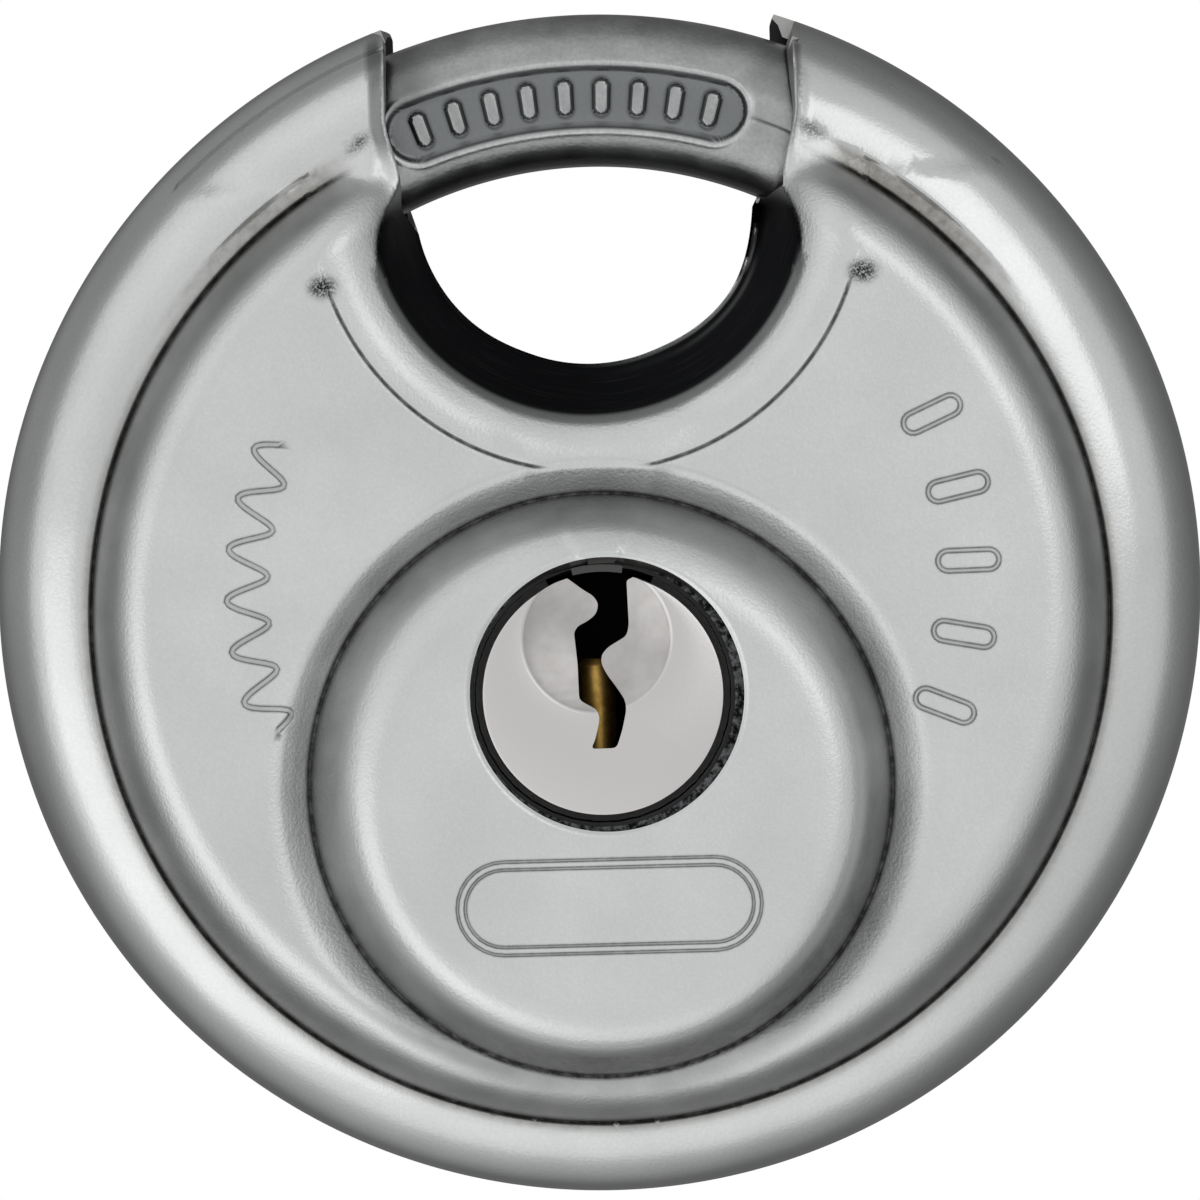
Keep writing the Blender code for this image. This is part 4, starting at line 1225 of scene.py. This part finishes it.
bar = make_shackle()
slot_shackle(bar)
mark_shackle(bar)
bar.data.materials.append(bar_material())
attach(bar, "shackle")
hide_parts("shackle")

plug = make_plug()
paint_plug(plug)
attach(plug, "plug")
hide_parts("plug")

# The first key pin, with a blunt nose; the frame's own is plainer
pin_low, pin_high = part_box("key_pin_1")
pin_top, pin_foot = pin_high.z / MM - DISC_HEIGHT, pin_low.z / MM - DISC_HEIGHT
pin_depth = -(pin_low.y + pin_high.y) / 2 / MM
pin = turned("front_key_pin", [
    (0, pin_foot), (0.72, pin_foot), (0.78, pin_foot + 0.06), (0.78, pin_top - 0.30), (0.62, pin_top - 0.06),
    (0.54, pin_top), (0, pin_top),
], (0, 0), 48)
stand_up(pin, PIN_SHIFT, pin_depth)
pin.data.materials.append(brass_material())
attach(pin, "key_pin_1")
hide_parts("key_pin_1")

# The hard plate, of which a crescent shows round the plug
plate_low, plate_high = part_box("anti_drill_plate")
guard = cylinder("guard_plate", GUARD_RADIUS, -plate_high.y / MM, -plate_low.y / MM, (0, -BOSS_DROP), 128)
cut(guard, cylinder("guard_hole", GUARD_HOLE, -20, 20, (0, -PLUG_DROP), 128))
guard.data.materials.append(guard_material())
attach(guard, "case")
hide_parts("anti_drill_plate")

# A lip of the boss's sheet that shows above the keyway
arc = [radians(LIP_START + LIP_SWEEP * i / LIP_STEPS) for i in range(LIP_STEPS + 1)]
lip_outline = []
for radius, turns in zip(LIP_RADII, (arc, arc[::-1])):
    lip_outline += [(radius * sin(turn), radius * cos(turn) - PLUG_DROP) for turn in turns]
lip = plate("keyhole_lip", lip_outline, *LIP_HEIGHTS)
lip.data.materials.append(plain("lip_steel", (0.09, 0.09, 0.09), 0.5))
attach(lip, "case")

# Springs
spring_steel = plain("spring_wire", (0.45, 0.45, 0.45), 0.3)
for i in range(1, PIN_COUNT + 1):
    low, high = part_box(f"pin_spring_{i}")
    spring = make_spring(f"spring_{i}", low, high)
    spring.data.materials.append(spring_steel)
    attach(spring, "case")
    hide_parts(f"pin_spring_{i}")
    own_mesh(spring)

# Plain materials for the pieces inside that stay as the frame has them
key_pins = [f"key_pin_{i}" for i in range(2, PIN_COUNT + 1)]
driver_pins = [f"driver_pin_{i}" for i in range(1, PIN_COUNT + 1)]
for name, colour, roughness, nodes in (
    # the zinc casting is painted near black, as the shade in the deep gaps where it shows
    ("zinc_casting", (0.10, 0.10, 0.10), 0.6, ["guide_frame", "cylinder_housing"]),
    ("brass", (0.72, 0.50, 0.20), 0.3, ["chamber_cover", *key_pins, *driver_pins]),
    ("spring_steel", (0.45, 0.45, 0.45), 0.3, ["plug_clip"]),
    ("hardened_steel", (0.13, 0.13, 0.14), 0.4, ["driver_cam", "drive_stud"]),
):
    material = plain(name, colour, roughness)
    for node in nodes:
        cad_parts[node].material_slots[0].material = material


# Studio


def make_floor():
    half, height = 0.9, DISC_HEIGHT * MM - 0.12
    corners = [(-half, -half, height), (half, -half, height), (half, half, height), (-half, half, height)]
    mesh = bpy.data.meshes.new("floor")
    mesh.from_pydata(corners, [], [(0, 1, 2, 3)])
    mesh.materials.append(plain("floor_paint", (0.95, 0.95, 0.95), 0.9, metallic=0))
    floor = show("floor", mesh)
    # the polished metal would mirror the floor's edge
    floor.visible_glossy = False
    floor.visible_shadow = False


def make_world():
    """White where the camera sees it, and a studio round the lock in reflections."""
    world = bpy.data.worlds.new("studio")
    bpy.context.scene.world = world
    world.use_nodes = True
    g = Graph(world.node_tree)
    where = g.node("TexCoord").outputs["Generated"]
    y = g.node("SeparateXYZ", where).outputs[1]
    # from the bright wall behind the camera to the dark one behind the lock
    ramp = g.node("ValToRGB", g.range(y, -1, 1, 0, 1))
    steps = (
        (0.0, 0.76), (0.1, 0.72), (0.28, 0.72), (0.43, 0.62), (0.5, 0.36), (0.6, 0.26), (0.74, 0.20), (0.9, 0.14),
    )
    points = ramp.color_ramp.elements
    while len(points) < len(steps):
        points.new(0.5)
    for point, (at, level) in zip(points, steps):
        point.position = at
        point.color = grey(level)
    # a pale table in front of and below the lock
    to_table = Vector((-0.30, -0.30, -0.90)).normalized()
    table = g.node("VectorMath", where, to_table, operation="DOT_PRODUCT").outputs["Value"]
    below = g.range(table, 0.4, 1.0, 0, 0.28)
    # a softbox at the upper left, whose edge shows as a crisp line in the rim
    softbox = g.node("VectorMath", where, (-0.78, 0, 0.62), operation="DOT_PRODUCT").outputs["Value"]
    lit = g.range(y, -0.13, -0.07, 0.16, 0.0)
    behind = g.range(y, -0.07, 0.8, 0.0, 0.16)
    left = g.times(g.range(softbox, 0.35, 0.75, 0, 1), g.math("ADD", lit, behind))
    strength = g.math("ADD", g.math("ADD", ramp.outputs[0], below), left)
    background = g.nodes["Background"]
    g.put(background, "Strength", g.most(strength, g.node("LightPath").outputs["Is Camera Ray"]))
    g.put(background, "Color", grey(1))


def make_light(name, offset, size, power):
    """An area light at this offset from the lock's middle, aimed at it."""
    light = bpy.data.lights.new(name, "AREA")
    light.shape = "RECTANGLE"
    light.size, light.size_y = size
    light.energy = power
    lamp = show(name, light)
    middle = Vector((0, 0, DISC_HEIGHT * MM))
    place = middle + Vector(offset)
    lamp.location = place
    lamp.visible_camera = False
    lamp.rotation_euler = (middle - place).to_track_quat("-Z", "Y").to_euler()


def make_camera():
    camera_data = bpy.data.cameras.new("camera")
    camera_data.sensor_width = SENSOR
    camera_data.lens = SENSOR * CAMERA_DISTANCE / CAMERA_FIELD
    camera_data.clip_start = 0.01
    camera_data.clip_end = 20
    camera = show("camera", camera_data)
    place = Matrix.Translation((0, -CAMERA_DISTANCE, (DISC_HEIGHT - CAMERA_DROP) * MM))
    roll = Matrix.Rotation(radians(-CAMERA_ROLL), 4, "Z")
    camera.matrix_world = place @ Matrix.Rotation(pi / 2, 4, "X") @ roll
    bpy.context.scene.camera = camera


make_floor()
make_world()
make_camera()
make_light("upper_right_light", (0.44, -0.82, 0.37), (0.6, 0.6), 0.68)
make_light("left_light", (-0.71, -0.58, -0.38), (0.7, 1.0), 0.85)
bpy.context.scene.view_settings.view_transform = "Standard"
